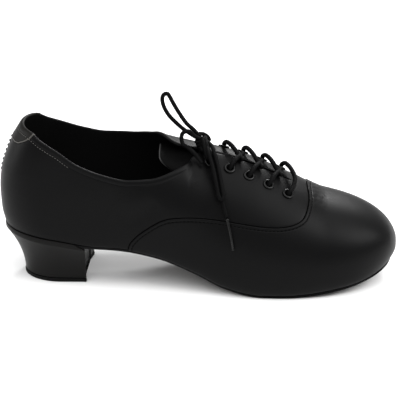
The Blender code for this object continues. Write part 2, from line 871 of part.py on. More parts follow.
def make_bow(home, black, tip_finish):
    make_knot(home, black)
    for name, route in (
        ("lace_loop_up", LOOP_UP),
        ("lace_loop_down", LOOP_DOWN),
        ("lace_end_short", END_SHORT),
        ("lace_end_long", END_LONG),
    ):
        cord(name, smooth_route(outside_knot(route, BOW_CLEAR), 1.5 * LACE), LACE, home, black)
    cord("lace_tip", smooth_route(TIP_ROUTE, 2 * TIP), TIP, home, tip_finish)


def main():
    for old in list(bpy.data.objects):
        bpy.data.objects.remove(old)
    home = collection("ballroom_dance_shoe")
    cutters = collection("cutters")
    leather = material("black_leather", (0.012, 0.012, 0.013), 0.38)
    lining = material("black_lining", (0.010, 0.010, 0.010), 0.75)
    sole = material("sole_leather", (0.020, 0.017, 0.014), 0.60)
    cover = material("heel_cover", (0.013, 0.013, 0.013), 0.35)
    rubber = material("black_rubber", (0.008, 0.008, 0.008), 0.70)
    enamel = material("black_metal", (0.020, 0.020, 0.022), 0.25, 1.0)
    braid = material("black_braid", (0.014, 0.014, 0.015), 0.80)
    tip = material("clear_tip", (0.050, 0.050, 0.050), 0.20)
    make_upper(home, cutters, leather)
    make_outsole(home, sole)
    make_insole(home, lining)
    make_heel(home, cover)
    make_top_lift(home, rubber)
    make_tongue(home, leather)
    make_eyelets(home, enamel)
    make_crossings(home, cutters, braid)
    make_leads(home, braid)
    make_bow(home, braid, tip)
    cutters.hide_render = True


if __name__ == "__main__":
    main()
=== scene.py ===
"""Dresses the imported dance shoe: fine leather skin, lining, braided laces, sole, heel and light.

The last is worked out as in the part, on a finer net, with its tables set closer to the photograph.
"""
from collections import namedtuple
from math import cos, pi, sin

import bpy
import numpy as np
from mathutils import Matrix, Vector


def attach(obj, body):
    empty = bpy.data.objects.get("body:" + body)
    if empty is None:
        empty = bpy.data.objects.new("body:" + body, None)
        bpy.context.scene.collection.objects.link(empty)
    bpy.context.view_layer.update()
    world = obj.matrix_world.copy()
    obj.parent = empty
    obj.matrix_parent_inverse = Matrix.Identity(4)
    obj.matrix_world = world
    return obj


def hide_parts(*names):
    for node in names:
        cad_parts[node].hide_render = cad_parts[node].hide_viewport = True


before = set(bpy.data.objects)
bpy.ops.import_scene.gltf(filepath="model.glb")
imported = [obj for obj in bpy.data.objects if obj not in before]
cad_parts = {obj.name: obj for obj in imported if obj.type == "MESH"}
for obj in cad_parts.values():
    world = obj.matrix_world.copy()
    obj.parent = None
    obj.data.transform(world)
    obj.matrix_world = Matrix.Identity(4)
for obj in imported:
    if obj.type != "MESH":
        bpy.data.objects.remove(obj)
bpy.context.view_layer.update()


def listed(names, *rows):
    """Rows whose columns are known by these names."""
    kind = namedtuple("Row", names)
    return [kind(*row) for row in rows]


def placed(*points):
    """Points given in tenths of a millimetre, in metres."""
    return [tuple(value / 10000 for value in point) for point in points]


# Driving sizes of the shoe
LENGTH = 0.292
BALL_WIDTH = 0.098
INSTEP_HEIGHT = 0.100
BACK_HEIGHT = 0.121
HEEL_HEIGHT = 0.040
NOSE_HEIGHT = 0.026
TOE_SPRING = 0.014
BACK_LEAN = 0.018

# Walls, sheets and the gap between neighbours
WALL = 0.0018
SOLE_THICKNESS = 0.0026
INSOLE_THICKNESS = 0.002
TONGUE_THICKNESS = 0.0016
GAP = 0.0003
TONGUE_GAP = 0.0014

# Heel block and its top lift; the breast is turned a little out of square, as the heel is
TOP_LIFT = 0.003
HEEL_LENGTH = 0.0632
HEEL_BASE_BACK = 0.0150
HEEL_BASE_WIDTH = 0.045
HEEL_FLARE = 1.9
BREAST_HOLLOW = 0.003
BREAST_TURN = 0.05
SEAT_GAP = 0.0006

# The origin lies this far in front of the rearmost point
HEEL_CENTRE = 0.041

# Lower edge of the upper
FEATHER_SHARE = 0.93
SOLE_MARGIN = 0.0006
LASTING_HEIGHT = 0.013
HEEL_CUP_HEIGHT = 0.024
NOSE_OVERHANG = 0.0035
INSOLE_INSET = 0.0024

# Throat, facings and eyelets
CORNER_ALONG = 0.482
THROAT_ALONG = 0.738
TREAD_ALONG = (0.650, 0.700)
EYELET_PAIRS = 5
EYELET_FIRST = 0.527
EYELET_LAST = 0.719
EYELET_FROM_THROAT = (0.0115, 0.0178)
EYELET_OUTER = 0.0084
EYELET_BORE = 0.0044
EYELET_RIM = 0.0008
EYELET_SHANK = 0.0056

# On the medial side the collar's edge crosses over to the throat between these places, and keeps
# this half width up to where the facings close
FAR_EDGE = (0.375, 0.450)
FAR_HALF_WIDTH = 0.010
FAR_EDGE_ENDS = 0.54

# The far eyelets sit a share of the length further back, and the top ones further from the throat
MEDIAL_BACK = 0.0140
MEDIAL_FURTHER = 0.003

# Tongue: where it starts and ends along the shoe, and its half width at both ends
TONGUE_TOP = 0.408
TONGUE_FOOT = 0.770
TONGUE_HALF_TOP = 0.025
TONGUE_HALF_FOOT = 0.018

# Lace and its tip
LACE = 0.0031
TIP = 0.0023
LACE_LIFT = 0.0003
ARCH = 0.0016
LEAD_MIDDLE = 0.50
LEAD_RISE = 0.0008
KNOT_PLACE = (0.1068, -0.0012, 0.1036)
KNOT_AXIS = (-0.42, 0.30, 0.86)

# Routes of the bow's free stretches, from the knot outward
LOOP_UP = placed(
    (1052, 6, 1050), (1000, 18, 1078), (933, 30, 1121), (877, 45, 1167), (831, 55, 1214),
    (796, 62, 1272), (781, 66, 1330), (790, 66, 1368), (818, 62, 1380), (836, 56, 1358),
    (861, 48, 1312), (901, 36, 1246), (954, 24, 1170), (1008, 14, 1122), (1046, 4, 1080),
)
LOOP_DOWN = placed(
    (1078, -40, 1040), (1104, -98, 1032), (1117, -152, 1014), (1144, -226, 950), (1165, -283, 875),
    (1180, -324, 812), (1192, -352, 764), (1210, -362, 744), (1224, -352, 764), (1216, -326, 812),
    (1201, -279, 877), (1182, -222, 951), (1157, -150, 1016), (1140, -92, 1038), (1092, -12, 1052),
)
END_SHORT = placed(
    (1056, -20, 1062), (1010, -42, 1098), (985, -46, 1128), (958, -52, 1136), (930, -56, 1122),
    (921, -66, 1086), (934, -84, 1048), (962, -106, 1036), (998, -132, 1016), (1036, -158, 984),
    (1074, -184, 938),
)
END_LONG = placed(
    (1150, -118, 992), (1154, -146, 973), (1166, -192, 922), (1184, -247, 848), (1202, -297, 780),
    (1217, -334, 722), (1233, -366, 665), (1249, -394, 612),
)
TIP_ROUTE = placed(
    (1251, -398, 605), (1268, -425, 540), (1283, -447, 468), (1296, -464, 390),
)

# The knot's own two strands that run down over the first eyelet
KNOT_TAIL = placed(
    (1068, -28, 1080), (1084, -82, 1046), (1098, -128, 1002), (1112, -160, 966),
)
KNOT_TAIL_OVER = placed(
    (1086, -36, 1072), (1106, -92, 1040), (1124, -146, 996), (1130, -182, 960),
)

# A short arc of lace behind the knot
KNOT_ARC = placed(
    (1040, 26, 1086), (1076, 40, 1078), (1106, 48, 1056), (1126, 52, 1018),
)

# The last across its length: half widths and shifts as shares of the ball's width, the ridge as a
# share of the instep's height, and how full the section is
SECTIONS = listed(
    "along lateral medial ridge_shift throat_shift ridge full",
    (0.00, 0.325, 0.325, 0.00, 0.000, 1.620, 2.0),
    (0.12, 0.325, 0.320, 0.00, 0.000, 1.620, 2.0),
    (0.25, 0.335, 0.315, 0.02, 0.020, 1.400, 2.2),
    (0.34, 0.350, 0.320, 0.04, 0.060, 1.150, 2.5),
    (0.41, 0.370, 0.335, 0.06, 0.080, 1.055, 2.5),
    (0.49, 0.405, 0.365, 0.07, 0.085, 1.000, 2.2),
    (0.58, 0.460, 0.425, 0.07, 0.085, 0.940, 2.0),
    (0.66, 0.505, 0.470, 0.06, 0.080, 0.850, 2.0),
    (0.74, 0.512, 0.480, 0.05, 0.070, 0.735, 2.1),
    (0.82, 0.512, 0.480, 0.04, 0.050, 0.625, 2.2),
    (1.00, 0.512, 0.480, 0.00, 0.000, 0.585, 2.3),
)

# Height of the sole's underside, as a share of the heel's height
BOTTOMS = listed(
    "along height",
    (0.00, 1.00), (0.06, 0.94), (0.13, 0.86), (0.21, 0.77), (0.30, 0.735),
    (0.39, 0.62), (0.49, 0.35), (0.56, 0.12), (0.62, 0.02), (0.65, 0.00),
)

# Height of the collar on both sides, as a share of the height of the back
COLLARS = listed(
    "along lateral medial",
    (0.00, 0.982, 0.982),
    (0.04, 0.970, 0.966),
    (0.09, 0.928, 0.918),
    (0.14, 0.875, 0.885),
    (0.20, 0.790, 0.850),
    (0.26, 0.735, 0.828),
    (0.33, 0.700, 0.833),
    (0.38, 0.705, 0.848),
    (0.44, 0.745, 0.830),
    (0.49, 0.790, 0.800),
)

# Half width of the gap between the facings, as a share of the ball's width
SLITS = listed(
    "along half_width",
    (0.482, 0.110), (0.500, 0.045), (0.520, 0.012), (0.575, 0.012),
    (0.620, 0.022), (0.710, 0.022), (0.738, 0.000),
)

# How far the back leans forward at each height
LEANS = listed(
    "height forward",
    (0.30, 0.30), (0.36, 0.14), (0.45, 0.03), (0.58, 0.00), (0.70, 0.10),
    (0.78, 0.27), (0.89, 0.58), (0.95, 0.82), (1.00, 1.10),
)

# Side view of the seam where the vamp lies over the quarters, from the sole up to the ridge
VAMP_SEAM = listed(
    "along height",
    (0.318, 0.100), (0.326, 0.330), (0.342, 0.415), (0.370, 0.490), (0.410, 0.565),
    (0.450, 0.590), (0.510, 0.590), (0.600, 0.560), (0.680, 0.535), (0.725, 0.540),
    (0.755, 0.570), (0.770, 0.630), (0.773, 0.670), (0.768, 0.740), (0.765, 1.100),
)

# Side view of the patch at the back of the collar, with its scalloped lower edge
BACK_PATCH = listed(
    "along height",
    (-0.10, 0.905), (0.030, 0.903), (0.040, 0.897), (0.050, 0.893), (0.060, 0.898),
    (0.067, 0.908), (0.074, 0.916), (0.082, 0.928), (0.092, 0.945), (0.100, 0.965),
    (0.104, 1.000), (0.104, 1.200), (-0.10, 1.200),
)

LATERAL, MEDIAL = -1, 1
WORDS = {LATERAL: "lateral", MEDIAL: "medial"}
LEAD_START = {LATERAL: 0.52, MEDIAL: 0.78}
TOE_ROUND = {LATERAL: (0.66, 2.8, 2.0), MEDIAL: (0.70, 2.5, 1.9)}
HEEL_ROUND = (0.87, 2.0, 2.1)
NOSE_ROUND = (0.78, 2.0, 2.0)


def column(rows, name, along):
    """A table's column at any share of the length, on a smooth curve that adds no humps."""
    places = np.array([row[0] for row in rows])
    values = np.array([getattr(row, name) for row in rows])
    along = np.clip(along, places[0], places[-1])
    steps = np.diff(places)
    slopes = np.diff(values) / steps
    tangents = np.concatenate([slopes[:1], np.zeros(len(slopes) - 1), slopes[-1:]])
    for i in range(1, len(slopes)):
        before, after = slopes[i - 1], slopes[i]
        if before * after > 0:
            near = 2 * steps[i] + steps[i - 1]
            far = steps[i] + 2 * steps[i - 1]
            tangents[i] = (near + far) / (near / before + far / after)
    k = np.clip(np.searchsorted(places, along, "right") - 1, 0, len(steps) - 1)
    t = (along - places[k]) / steps[k]
    return (
        (2 * t**3 - 3 * t**2 + 1) * values[k]
        + (t**3 - 2 * t**2 + t) * steps[k] * tangents[k]
        + (3 * t**2 - 2 * t**3) * values[k + 1]
        + (t**3 - t**2) * steps[k] * tangents[k + 1]
    )


def eased(count):
    """Shares of the length from 0 to 1, closer together towards both ends."""
    return 0.5 - 0.5 * np.cos(np.linspace(0, pi, count))


def side_view(rows, tall):
    """Side-view places of a table's rows, whose heights are shares of this height."""
    return [(LENGTH * along - HEEL_CENTRE, tall * height) for along, height in rows]


def closing(along, start, bulge, tightness):
    """1 up to start, then down to 0 at the end on a superellipse."""
    reach = np.clip((along - start) / (1 - start), 0, 1)
    return (1 - reach**bulge) ** (1 / tightness)


def half_width(along, side):
    width = BALL_WIDTH * column(SECTIONS, WORDS[side], along)
    return width * closing(along, *TOE_ROUND[side]) * closing(1 - along, *HEEL_ROUND)


def sole_bottom(along):
    spring = TOE_SPRING * np.clip((along - TREAD_ALONG[1]) / (1 - TREAD_ALONG[1]), 0, 1) ** 1.7
    return HEEL_HEIGHT * column(BOTTOMS, "height", along) + spring


def feather_height(along):
    """Height of the upper's lower edge, just clear of the sole."""
    return sole_bottom(along) + SOLE_THICKNESS + GAP


def ridge_height(along):
    ridge = INSTEP_HEIGHT * column(SECTIONS, "ridge", along)
    return NOSE_HEIGHT + (ridge - NOSE_HEIGHT) * closing(along, *NOSE_ROUND)


def forward(along, height):
    """X of a point of the last: sections lean forward as the back of the heel does."""
    fade = np.clip(1 - along / 0.30, 0, 1) ** 1.3
    lean = BACK_LEAN * column(LEANS, "forward", height / BACK_HEIGHT) * fade
    return LENGTH * along - HEEL_CENTRE + lean


def overhang(along):
    """How far the feather edge is tucked back under the nose."""
    return NOSE_OVERHANG * np.clip((along - 0.80) / 0.20, 0, 1) ** 2


def section(along, side, fine=40):
    """Half a section of the last, from the feather edge round to the ridge."""
    width = float(half_width(along, side))
    low = float(feather_height(along))
    top = float(ridge_height(along))
    ridge_y = BALL_WIDTH * float(column(SECTIONS, "ridge_shift", along)) * side
    power = 2 / float(column(SECTIONS, "full", along))
    cup = HEEL_CUP_HEIGHT + (LASTING_HEIGHT - HEEL_CUP_HEIGHT) * min(1, max(0, along - 0.2) / 0.35)
    middle = low + min(cup, 0.5 * (top - low))
    foot = width * FEATHER_SHARE
    turn = np.linspace(0, pi / 2, fine // 3)
    rise = np.linspace(0, pi / 2, fine)[1:]
    y = np.concatenate([
        foot + (width - foot) * np.sin(turn),
        ridge_y + (width - ridge_y) * np.cos(rise) ** power,
    ])
    z = np.concatenate([
        middle - (middle - low) * np.cos(turn),
        middle + (top - middle) * np.sin(rise) ** power,
    ])
    tucked = np.clip((middle - z) / (middle - low), 0, 1) ** 2
    x = forward(along, z) - tucked * overhang(along)
    return np.stack([x, side * y, z], 1)


def lengths_along(points):
    """Length along a line up to each of its points."""
    steps = np.linalg.norm(np.diff(points, axis=0), axis=1)
    return np.concatenate([[0], np.cumsum(steps)])


def between(points, lengths, at):
    """Points of a line at these lengths along it."""
    return np.stack([np.interp(at, lengths, points[:, k]) for k in range(3)], 1)


def half_path(along, side):
    """Points from one feather edge up to the throat line, which lies lateral of the ridge.

    Also gives the length along them at the ridge.
    """
    own = section(along, side)
    lengths = lengths_along(own)
    ridge = lengths[-1]
    shift = BALL_WIDTH * float(column(SECTIONS, "throat_shift", along))
    if shift == 0:
        return own, ridge
    if side == LATERAL:
        kept = lengths < ridge - shift
        end = between(own, lengths, [ridge - shift])
        return np.concatenate([own[kept], end]), ridge - shift
    over = section(along, LATERAL)[::-1]
    lengths = lengths_along(over)
    kept = (lengths > 0) & (lengths < shift)
    return np.concatenate([own, over[kept], between(over, lengths, [shift])]), ridge


def edge_length(along, side, points, lengths, ridge):
    """Length from the feather to the collar, the throat's edge or the throat line."""
    if along >= THROAT_ALONG:
        return lengths[-1]
    slit = lengths[-1] - BALL_WIDTH * float(column(SLITS, "half_width", along))
    height = BACK_HEIGHT * float(column(COLLARS, WORDS[side], along))
    flank = lengths <= ridge + 1e-9
    collar = float(np.interp(height, points[flank, 2], lengths[flank]))
    if side == LATERAL:
        return collar if along < CORNER_ALONG else slit
    share = float(np.clip((along - FAR_EDGE[0]) / (FAR_EDGE[1] - FAR_EDGE[0]), 0, 1))
    share = share * share * (3 - 2 * share)
    half = float(column(SLITS, "half_width", along))
    if along <= FAR_EDGE_ENDS:
        half = min(FAR_HALF_WIDTH, half)
    narrow = lengths[-1] - BALL_WIDTH * half
    return collar + (narrow - collar) * share


def beside_throat(along, side, distance, lift=0):
    """A point this far from the throat line, raised off the surface, and the normal there."""
    step = 0.004

    def on(place, out):
        points, _ = half_path(place, side)
        lengths = lengths_along(points)
        return between(points, lengths, [lengths[-1] - out])[0]

    here = on(along, distance)
    ahead = on(along + step, distance) - on(along - step, distance)
    down = on(along, distance + step) - on(along, distance - step)
    normal = np.cross(ahead, down) * side
    normal /= np.linalg.norm(normal)
    return here + normal * lift, normal


def pair_place(pair, side):
    """Where a pair of eyelets lies along the shoe, and how far from the throat line on this side."""
    share = (pair - 1) / (EYELET_PAIRS - 1)
    near, far = EYELET_FROM_THROAT
    further = MEDIAL_FURTHER * (1 - share) if side == MEDIAL else 0
    return EYELET_FIRST + (EYELET_LAST - EYELET_FIRST) * share, near + (far - near) * share + further


def eyelet_places():
    """Pair, side, place and normal of each eyelet, from the ankle down to the toe."""
    places = []
    for pair in range(1, EYELET_PAIRS + 1):
        for side in (LATERAL, MEDIAL):
            along, distance = pair_place(pair, side)
            back = MEDIAL_BACK if side == MEDIAL else 0
            point, normal = beside_throat(along - back, side, distance)
            places.append((pair, side, Vector(point), Vector(normal)))
    return places


def sole_point(along, side, height, outset=0.0):
    """A point of the sole's outline, this far outside the feather edge."""
    x = forward(along, feather_height(along)) - overhang(along) + outset * (2 * along - 1)
    return float(x), side * float(half_width(along, side) * FEATHER_SHARE + outset), float(height)


def smooth_route(points, spacing):
    """Points this far apart on a smooth curve through the route's own points."""
    route = np.array(points, float)
    ends = np.concatenate([[2 * route[0] - route[1]], route, [2 * route[-1] - route[-2]]])
    dense = []
    for a, b, c, d in zip(ends, ends[1:], ends[2:], ends[3:]):
        for t in np.linspace(0, 1, 16, endpoint=False):
            bend = (2 * a - 5 * b + 4 * c - d) * t**2
            dense.append(0.5 * (2 * b + (c - a) * t + bend + (3 * b - a - 3 * c + d) * t**3))
    dense.append(route[-1])
    dense = np.array(dense)
    lengths = lengths_along(dense)
    count = max(3, int(round(lengths[-1] / spacing)) + 1)
    return between(dense, lengths, np.linspace(0, lengths[-1], count))


# Camera, found from the photograph
CAMERA_TURN = 0.8
CAMERA_TILT = 25.0
CAMERA_DISTANCE = 1.0
CAMERA_AIM = (0.103, 0.0, 0.052)
CAMERA_LENS = 121.6
CAMERA_SHIFT = (0.0082, 0.0152)

# Fineness of the shown surfaces
STATIONS = 320
ROWS = 84
LINING_STEP = 4
ROLL_STEPS = 6

# Steps, grooves and beads of the upper, in metres from the surface of the last
VAMP_STEP = 0.00075
PATCH_STEP = 0.0005
SHOULDER = 0.0004
STITCH_FROM_EDGE = 0.0023
GROOVE = 0.00025
GROOVE_WIDTH = 0.00035
UNDERCUT = 0.00030
UNDERCUT_AT = -0.0002
PIPING = 0.00025
# Width of the lighter strip inside the patch's edge: a lighter binding, partly painted highlight along
# the edge
PIPING_AND_HIGHLIGHT_WIDTH = 0.0008
BEAD = 0.0004
BEAD_TOP = 0.0008
BEAD_WIDTH = 0.0026
BEAD_GROOVE = 0.00014
EYELET_DIP = 0.00015
EYELET_DIP_WIDTH = 0.0025

# Threads of the seam and the collar: their shape along, across and down as shares of their length
# and width, and where the raised threads of the back seam sit
STITCH_SHAPE = (
    (-0.5, 0.35, -0.9), (-0.36, 0.85, -0.25), (0.0, 1.0, 0.0), (0.36, 0.85, -0.25), (0.5, 0.35, -0.9),
)
STITCH_SIDES = 6
SEAM_STITCH = {"lift": 0.00005, "length": 0.0021, "pitch": 0.0028, "width": 0.00042}
COLLAR_STITCH = {"lift": 0.0001, "length": 0.0011, "pitch": 0.0021, "width": 0.0005}
COLLAR_STITCH_AT = 0.0036
COLLAR_STITCH_ENDS = 0.18
BACK_STITCH = 0.0009
BACK_STITCH_SUNK = 0.00035
BACK_STITCH_HEIGHTS = (0.083, 0.1075, 0.0017)
BACK_STITCH_PLACES = (
    (LATERAL, 0.00014), (LATERAL, 0.00004), (MEDIAL, 0.0), (MEDIAL, 0.00004), (MEDIAL, 0.00014),
)

# How far roughness plays about its own value, and the height of the grain
GLOSS_PLAY = 0.05
GRAIN_DEPTH = 0.0002

# What each vertex of the upper carries after the three numbers of its normal: its distances inside
# the edge, the seam and the patch and from the nearest eyelet, 1 on the lining, its place along the
# shoe and its side
EDGE, SEAM, PATCH_IN, HOLE, ZONE, ALONG, SIDE = range(3, 10)
FIELD_COUNT = 10
INNER = 1.0
FIELD_REACH = 0.02


def material(name, colour, roughness, shine=0.5):
    made = bpy.data.materials.new(name)
    made.use_nodes = True
    shader = made.node_tree.nodes["Principled BSDF"]
    shader.inputs["Base Color"].default_value = (*colour, 1)
    shader.inputs["Roughness"].default_value = roughness
    shader.inputs["Specular IOR Level"].default_value = shine
    return made


def node(tree, kind, **values):
    """A new node with its settings and its unlinked inputs."""
    made = tree.nodes.new(kind)
    for name, value in values.items():
        if hasattr(made, name):
            setattr(made, name, value)
        else:
            made.inputs[name.replace("_", " ")].default_value = value
    return made


def grain(made, scale, depth):
    """Pebbled skin: fine cells and a slower swell in the bump, and a little play in the gloss."""
    tree = made.node_tree
    shader = tree.nodes["Principled BSDF"]
    place = node(tree, "ShaderNodeTexCoord")
    cells = node(tree, "ShaderNodeTexVoronoi", Scale=scale, feature="F1")
    swell = node(tree, "ShaderNodeTexNoise", Scale=scale * 0.35, Detail=4.0)
    patchy = node(tree, "ShaderNodeTexNoise", Scale=28.0, Detail=3.0)
    for texture in (cells, swell, patchy):
        tree.links.new(place.outputs["Object"], texture.inputs["Vector"])
    both = node(tree, "ShaderNodeMath", operation="ADD")
    tree.links.new(cells.outputs["Distance"], both.inputs[0])
    tree.links.new(swell.outputs["Fac"], both.inputs[1])
    bump = node(tree, "ShaderNodeBump", Strength=depth, Distance=GRAIN_DEPTH)
    tree.links.new(both.outputs["Value"], bump.inputs["Height"])
    tree.links.new(bump.outputs["Normal"], shader.inputs["Normal"])
    gloss = node(tree, "ShaderNodeMapRange")
    rough = shader.inputs["Roughness"].default_value
    gloss.inputs["To Min"].default_value = rough - GLOSS_PLAY
    gloss.inputs["To Max"].default_value = rough + GLOSS_PLAY
    tree.links.new(patchy.outputs["Fac"], gloss.inputs["Value"])
    tree.links.new(gloss.outputs["Result"], shader.inputs["Roughness"])
    return made


def linked(name, data):
    made = bpy.data.objects.new(name, data)
    bpy.context.scene.collection.objects.link(made)
    return made


def mesh_piece(name, points, faces, finishes, slots=None):
    mesh = bpy.data.meshes.new(name)
    mesh.from_pydata([tuple(p) for p in points], [], faces)
    for finish in finishes:
        mesh.materials.append(finish)
    if slots is not None:
        mesh.polygons.foreach_set("material_index", slots)
    mesh.shade_smooth()
    return linked(name, mesh)


def softened(made):
    """Evens the shading over flat and rounded faces."""
    step = made.modifiers.new("Even shading", "WEIGHTED_NORMAL")
    step.keep_sharp = True
    step.weight = 60
    return made


def cut(points, fields, faces, name, level):
    """Splits the faces along one level of a field, so that an edge there is crisp."""
    values = fields[:, name] - level
    values[abs(values) < 1e-9] = 0
    lengths = np.array([len(face) for face in faces])
    flat = np.concatenate([np.array(face) for face in faces])
    starts = np.concatenate([[0], np.cumsum(lengths)[:-1]])
    lowest = np.minimum.reduceat(values[flat], starts)
    highest = np.maximum.reduceat(values[flat], starts)
    crossed = (lowest < 0) & (highest > 0)
    kept = [face for face, over in zip(faces, crossed) if not over]
    added = {}
    more_points, more_fields = [], []
    count = len(points)
    for index in np.nonzero(crossed)[0]:
        face = faces[index]
        below, above = [], []
        for a, b in zip(face, face[1:] + face[:1]):
            if values[a] <= 0:
                below.append(a)
            if values[a] >= 0:
                above.append(a)
            if values[a] * values[b] < 0:
                key = (min(a, b), max(a, b))
                if key not in added:
                    low, high = key
                    share = values[low] / (values[low] - values[high])
                    added[key] = count + len(more_points)
                    more_points.append(points[low] + (points[high] - points[low]) * share)
                    more_fields.append(fields[low] + (fields[high] - fields[low]) * share)
                below.append(added[key])
                above.append(added[key])
        for part in (below, above):
            if len(part) > 2:
                kept.append(tuple(part))
    if more_points:
        points = np.concatenate([points, more_points])
        fields = np.concatenate([fields, more_fields])
    return points, fields, kept


def inside_distance(polygon, x, z):
    """Distance in a side view to a closed outline, positive inside it."""
    polygon = np.array(polygon)
    nearest = np.full(x.shape, 9.0)
    inside = np.zeros(x.shape, bool)
    for (ax, az), (bx, bz) in zip(polygon, np.roll(polygon, -1, axis=0)):
        dx, dz = bx - ax, bz - az
        share = np.clip(((x - ax) * dx + (z - az) * dz) / (dx * dx + dz * dz + 1e-18), 0, 1)
        nearest = np.minimum(nearest, np.hypot(x - ax - share * dx, z - az - share * dz))
        spans = (az > z) != (bz > z)
        with np.errstate(divide="ignore", invalid="ignore"):
            meets = ax + (z - az) / (bz - az) * dx
        inside ^= spans & (x < meets)
    return np.where(inside, nearest, -nearest)


def side_outline(rows, tall, closed_by):
    """A seam's own table as a smooth line, closed by plain corners."""
    line = smooth_route([(x, 0, z) for x, z in side_view(rows, tall)], 0.0015)
    return [(x, z) for x, _, z in line] + closed_by


def evened(field, points):
    """The field over its own steepness on the surface, which makes it a true distance nearby."""
    across = (np.roll(points, -1, 0) - np.roll(points, 1, 0)) / 2
    up = np.gradient(points, axis=1)
    change_across = (np.roll(field, -1, 0) - np.roll(field, 1, 0)) / 2
    change_up = np.gradient(field, axis=1)
    aa = (across * across).sum(-1)
    au = (across * up).sum(-1)
    uu = (up * up).sum(-1)
    area = np.maximum(aa * uu - au * au, 1e-18)
    steep = (change_across**2 * uu - 2 * change_across * change_up * au + change_up**2 * aa) / area
    return field / np.sqrt(np.clip(steep, 0.04, 4.0))


def ring_columns():
    """Side and place of each column, round the foot from heel to toe and back."""
    shares = eased(STATIONS + 1)
    for fixed in (CORNER_ALONG, THROAT_ALONG):
        shares[np.argmin(abs(shares - fixed))] = fixed
    ring = [(LATERAL, share) for share in shares]
    return ring + [(MEDIAL, share) for share in shares[-2:0:-1]]


def outer_grid(ring):
    """Points of the outer surface and their lengths below the collar or the throat's edge."""
    grid = np.empty((len(ring), ROWS + 1, 3))
    below = np.empty((len(ring), ROWS + 1))
    for i, (side, place) in enumerate(ring):
        points, ridge = half_path(place, side)
        lengths = lengths_along(points)
        stop = edge_length(place, side, points, lengths, ridge)
        at = stop * np.linspace(0, 1, ROWS + 1)
        grid[i] = between(points, lengths, at)
        below[i] = stop - at
        if place > THROAT_ALONG:
            below[i] = np.hypot(below[i], LENGTH * (place - THROAT_ALONG))
    return grid, below


def grid_normals(grid, ring):
    across = np.roll(grid, -1, 0) - np.roll(grid, 1, 0)
    up = np.gradient(grid, axis=1)
    normals = np.cross(across, up)
    normals /= np.maximum(np.linalg.norm(normals, axis=2, keepdims=True), 1e-12)
    count = len(ring)
    for i, (side, place) in enumerate(ring[: STATIONS + 1]):
        j = (count - i) % count
        if place >= THROAT_ALONG and i != j:
            both = normals[i, -1] + normals[j, -1]
            normals[i, -1] = normals[j, -1] = both / np.linalg.norm(both)
    return normals


def shell():
    """The whole upper as one skin: outside, over the rolled edge and down the lining."""
    ring = ring_columns()
    grid, below = outer_grid(ring)
    normals = grid_normals(grid, ring)
    x, z = grid[..., 0], grid[..., 2]
    seam_end = LENGTH * VAMP_SEAM[0].along - HEEL_CENTRE
    beyond, under, top = LENGTH * 1.1, -0.05, INSTEP_HEIGHT * VAMP_SEAM[-1].height
    corners = [(beyond, top), (beyond, under), (seam_end - 0.004, under)]
    seam = side_outline(VAMP_SEAM, INSTEP_HEIGHT, corners)
    back = side_view(BACK_PATCH, BACK_HEIGHT)
    fields = np.zeros(grid.shape[:2] + (FIELD_COUNT,))
    fields[..., :3] = normals
    fields[..., EDGE] = evened(below, grid)
    for name, outline in ((SEAM, seam), (PATCH_IN, back)):
        inside = evened(inside_distance(outline, x, z), grid)
        fields[..., name] = np.clip(inside, -FIELD_REACH, FIELD_REACH)
    nearest = np.full(x.shape, 1.0)
    for _, _, point, normal in eyelet_places():
        offset = grid - np.array(point)
        rise = offset @ np.array(normal)
        out = np.sqrt(np.maximum((offset**2).sum(-1) - rise**2, 0))
        nearest = np.minimum(nearest, np.where(abs(rise) < 0.004, out, 1.0))
    fields[..., HOLE] = np.clip(nearest, 0, FIELD_REACH)
    fields[..., ALONG] = np.array([place for _, place in ring])[:, None]
    fields[..., SIDE] = np.sign(grid[..., 1])

    # Over the edge and down inside
    tangent = grid[:, -1] - grid[:, -2]
    tangent /= np.linalg.norm(tangent, axis=1, keepdims=True)
    radius = WALL / 2
    rows, row_fields = [], []
    for step in range(1, ROLL_STEPS + 1):
        turn = pi * step / ROLL_STEPS
        outward = normals[:, -1] * cos(turn) + tangent * sin(turn)
        rows.append(grid[:, -1] - normals[:, -1] * radius + outward * radius)
        own = fields[:, -1].copy()
        own[:, :3] = outward
        own[:, EDGE] = -radius * turn
        own[:, ZONE] = INNER if turn > pi * 0.7 else 0
        row_fields.append(own)
    for j in range(ROWS - LINING_STEP, -1, -LINING_STEP):
        rows.append(grid[:, j] - normals[:, j] * WALL)
        own = fields[:, j].copy()
        own[:, :3] *= -1
        own[:, EDGE] = -FIELD_REACH
        own[:, SEAM] = fields[:, -1, SEAM]
        own[:, PATCH_IN] = fields[:, -1, PATCH_IN]
        own[:, ZONE] = INNER
        row_fields.append(own)
    grid = np.concatenate([grid, np.stack(rows, 1)], axis=1)
    fields = np.concatenate([fields, np.stack(row_fields, 1)], axis=1)
    columns, height = grid.shape[:2]
    number = np.arange(columns * height).reshape(columns, height)
    # In front of the throat the two sides meet, so they share their top points
    for i in range(STATIONS + 1):
        j = (columns - i) % columns
        if ring[i][1] >= THROAT_ALONG and i != j:
            number[j, ROWS] = number[i, ROWS]
            number[j, ROWS + ROLL_STEPS] = number[i, ROWS + ROLL_STEPS]
    faces = []
    for i in range(columns):
        k = (i + 1) % columns
        closed = ring[i][1] >= THROAT_ALONG and ring[k][1] >= THROAT_ALONG
        for j in range(height - 1):
            if closed and ROWS <= j < ROWS + ROLL_STEPS:
                continue
            quad = (number[i, j], number[k, j], number[k, j + 1], number[i, j + 1])
            face = tuple(dict.fromkeys(int(v) for v in quad))
            if len(face) > 2:
                faces.append(face)
    return grid.reshape(-1, 3), fields.reshape(-1, FIELD_COUNT), faces


def quarter_round(reach, width):
    """0 at the foot of an edge and 1 past its rounded shoulder."""
    share = np.clip(reach / width, 0, 1)
    return np.sqrt(1 - (1 - share) ** 2)


def dip(reach, centre, width):
    """1 at the middle of a rounded groove, fading to 0 on both sides."""
    return np.exp(-(((reach - centre) / width) ** 2))


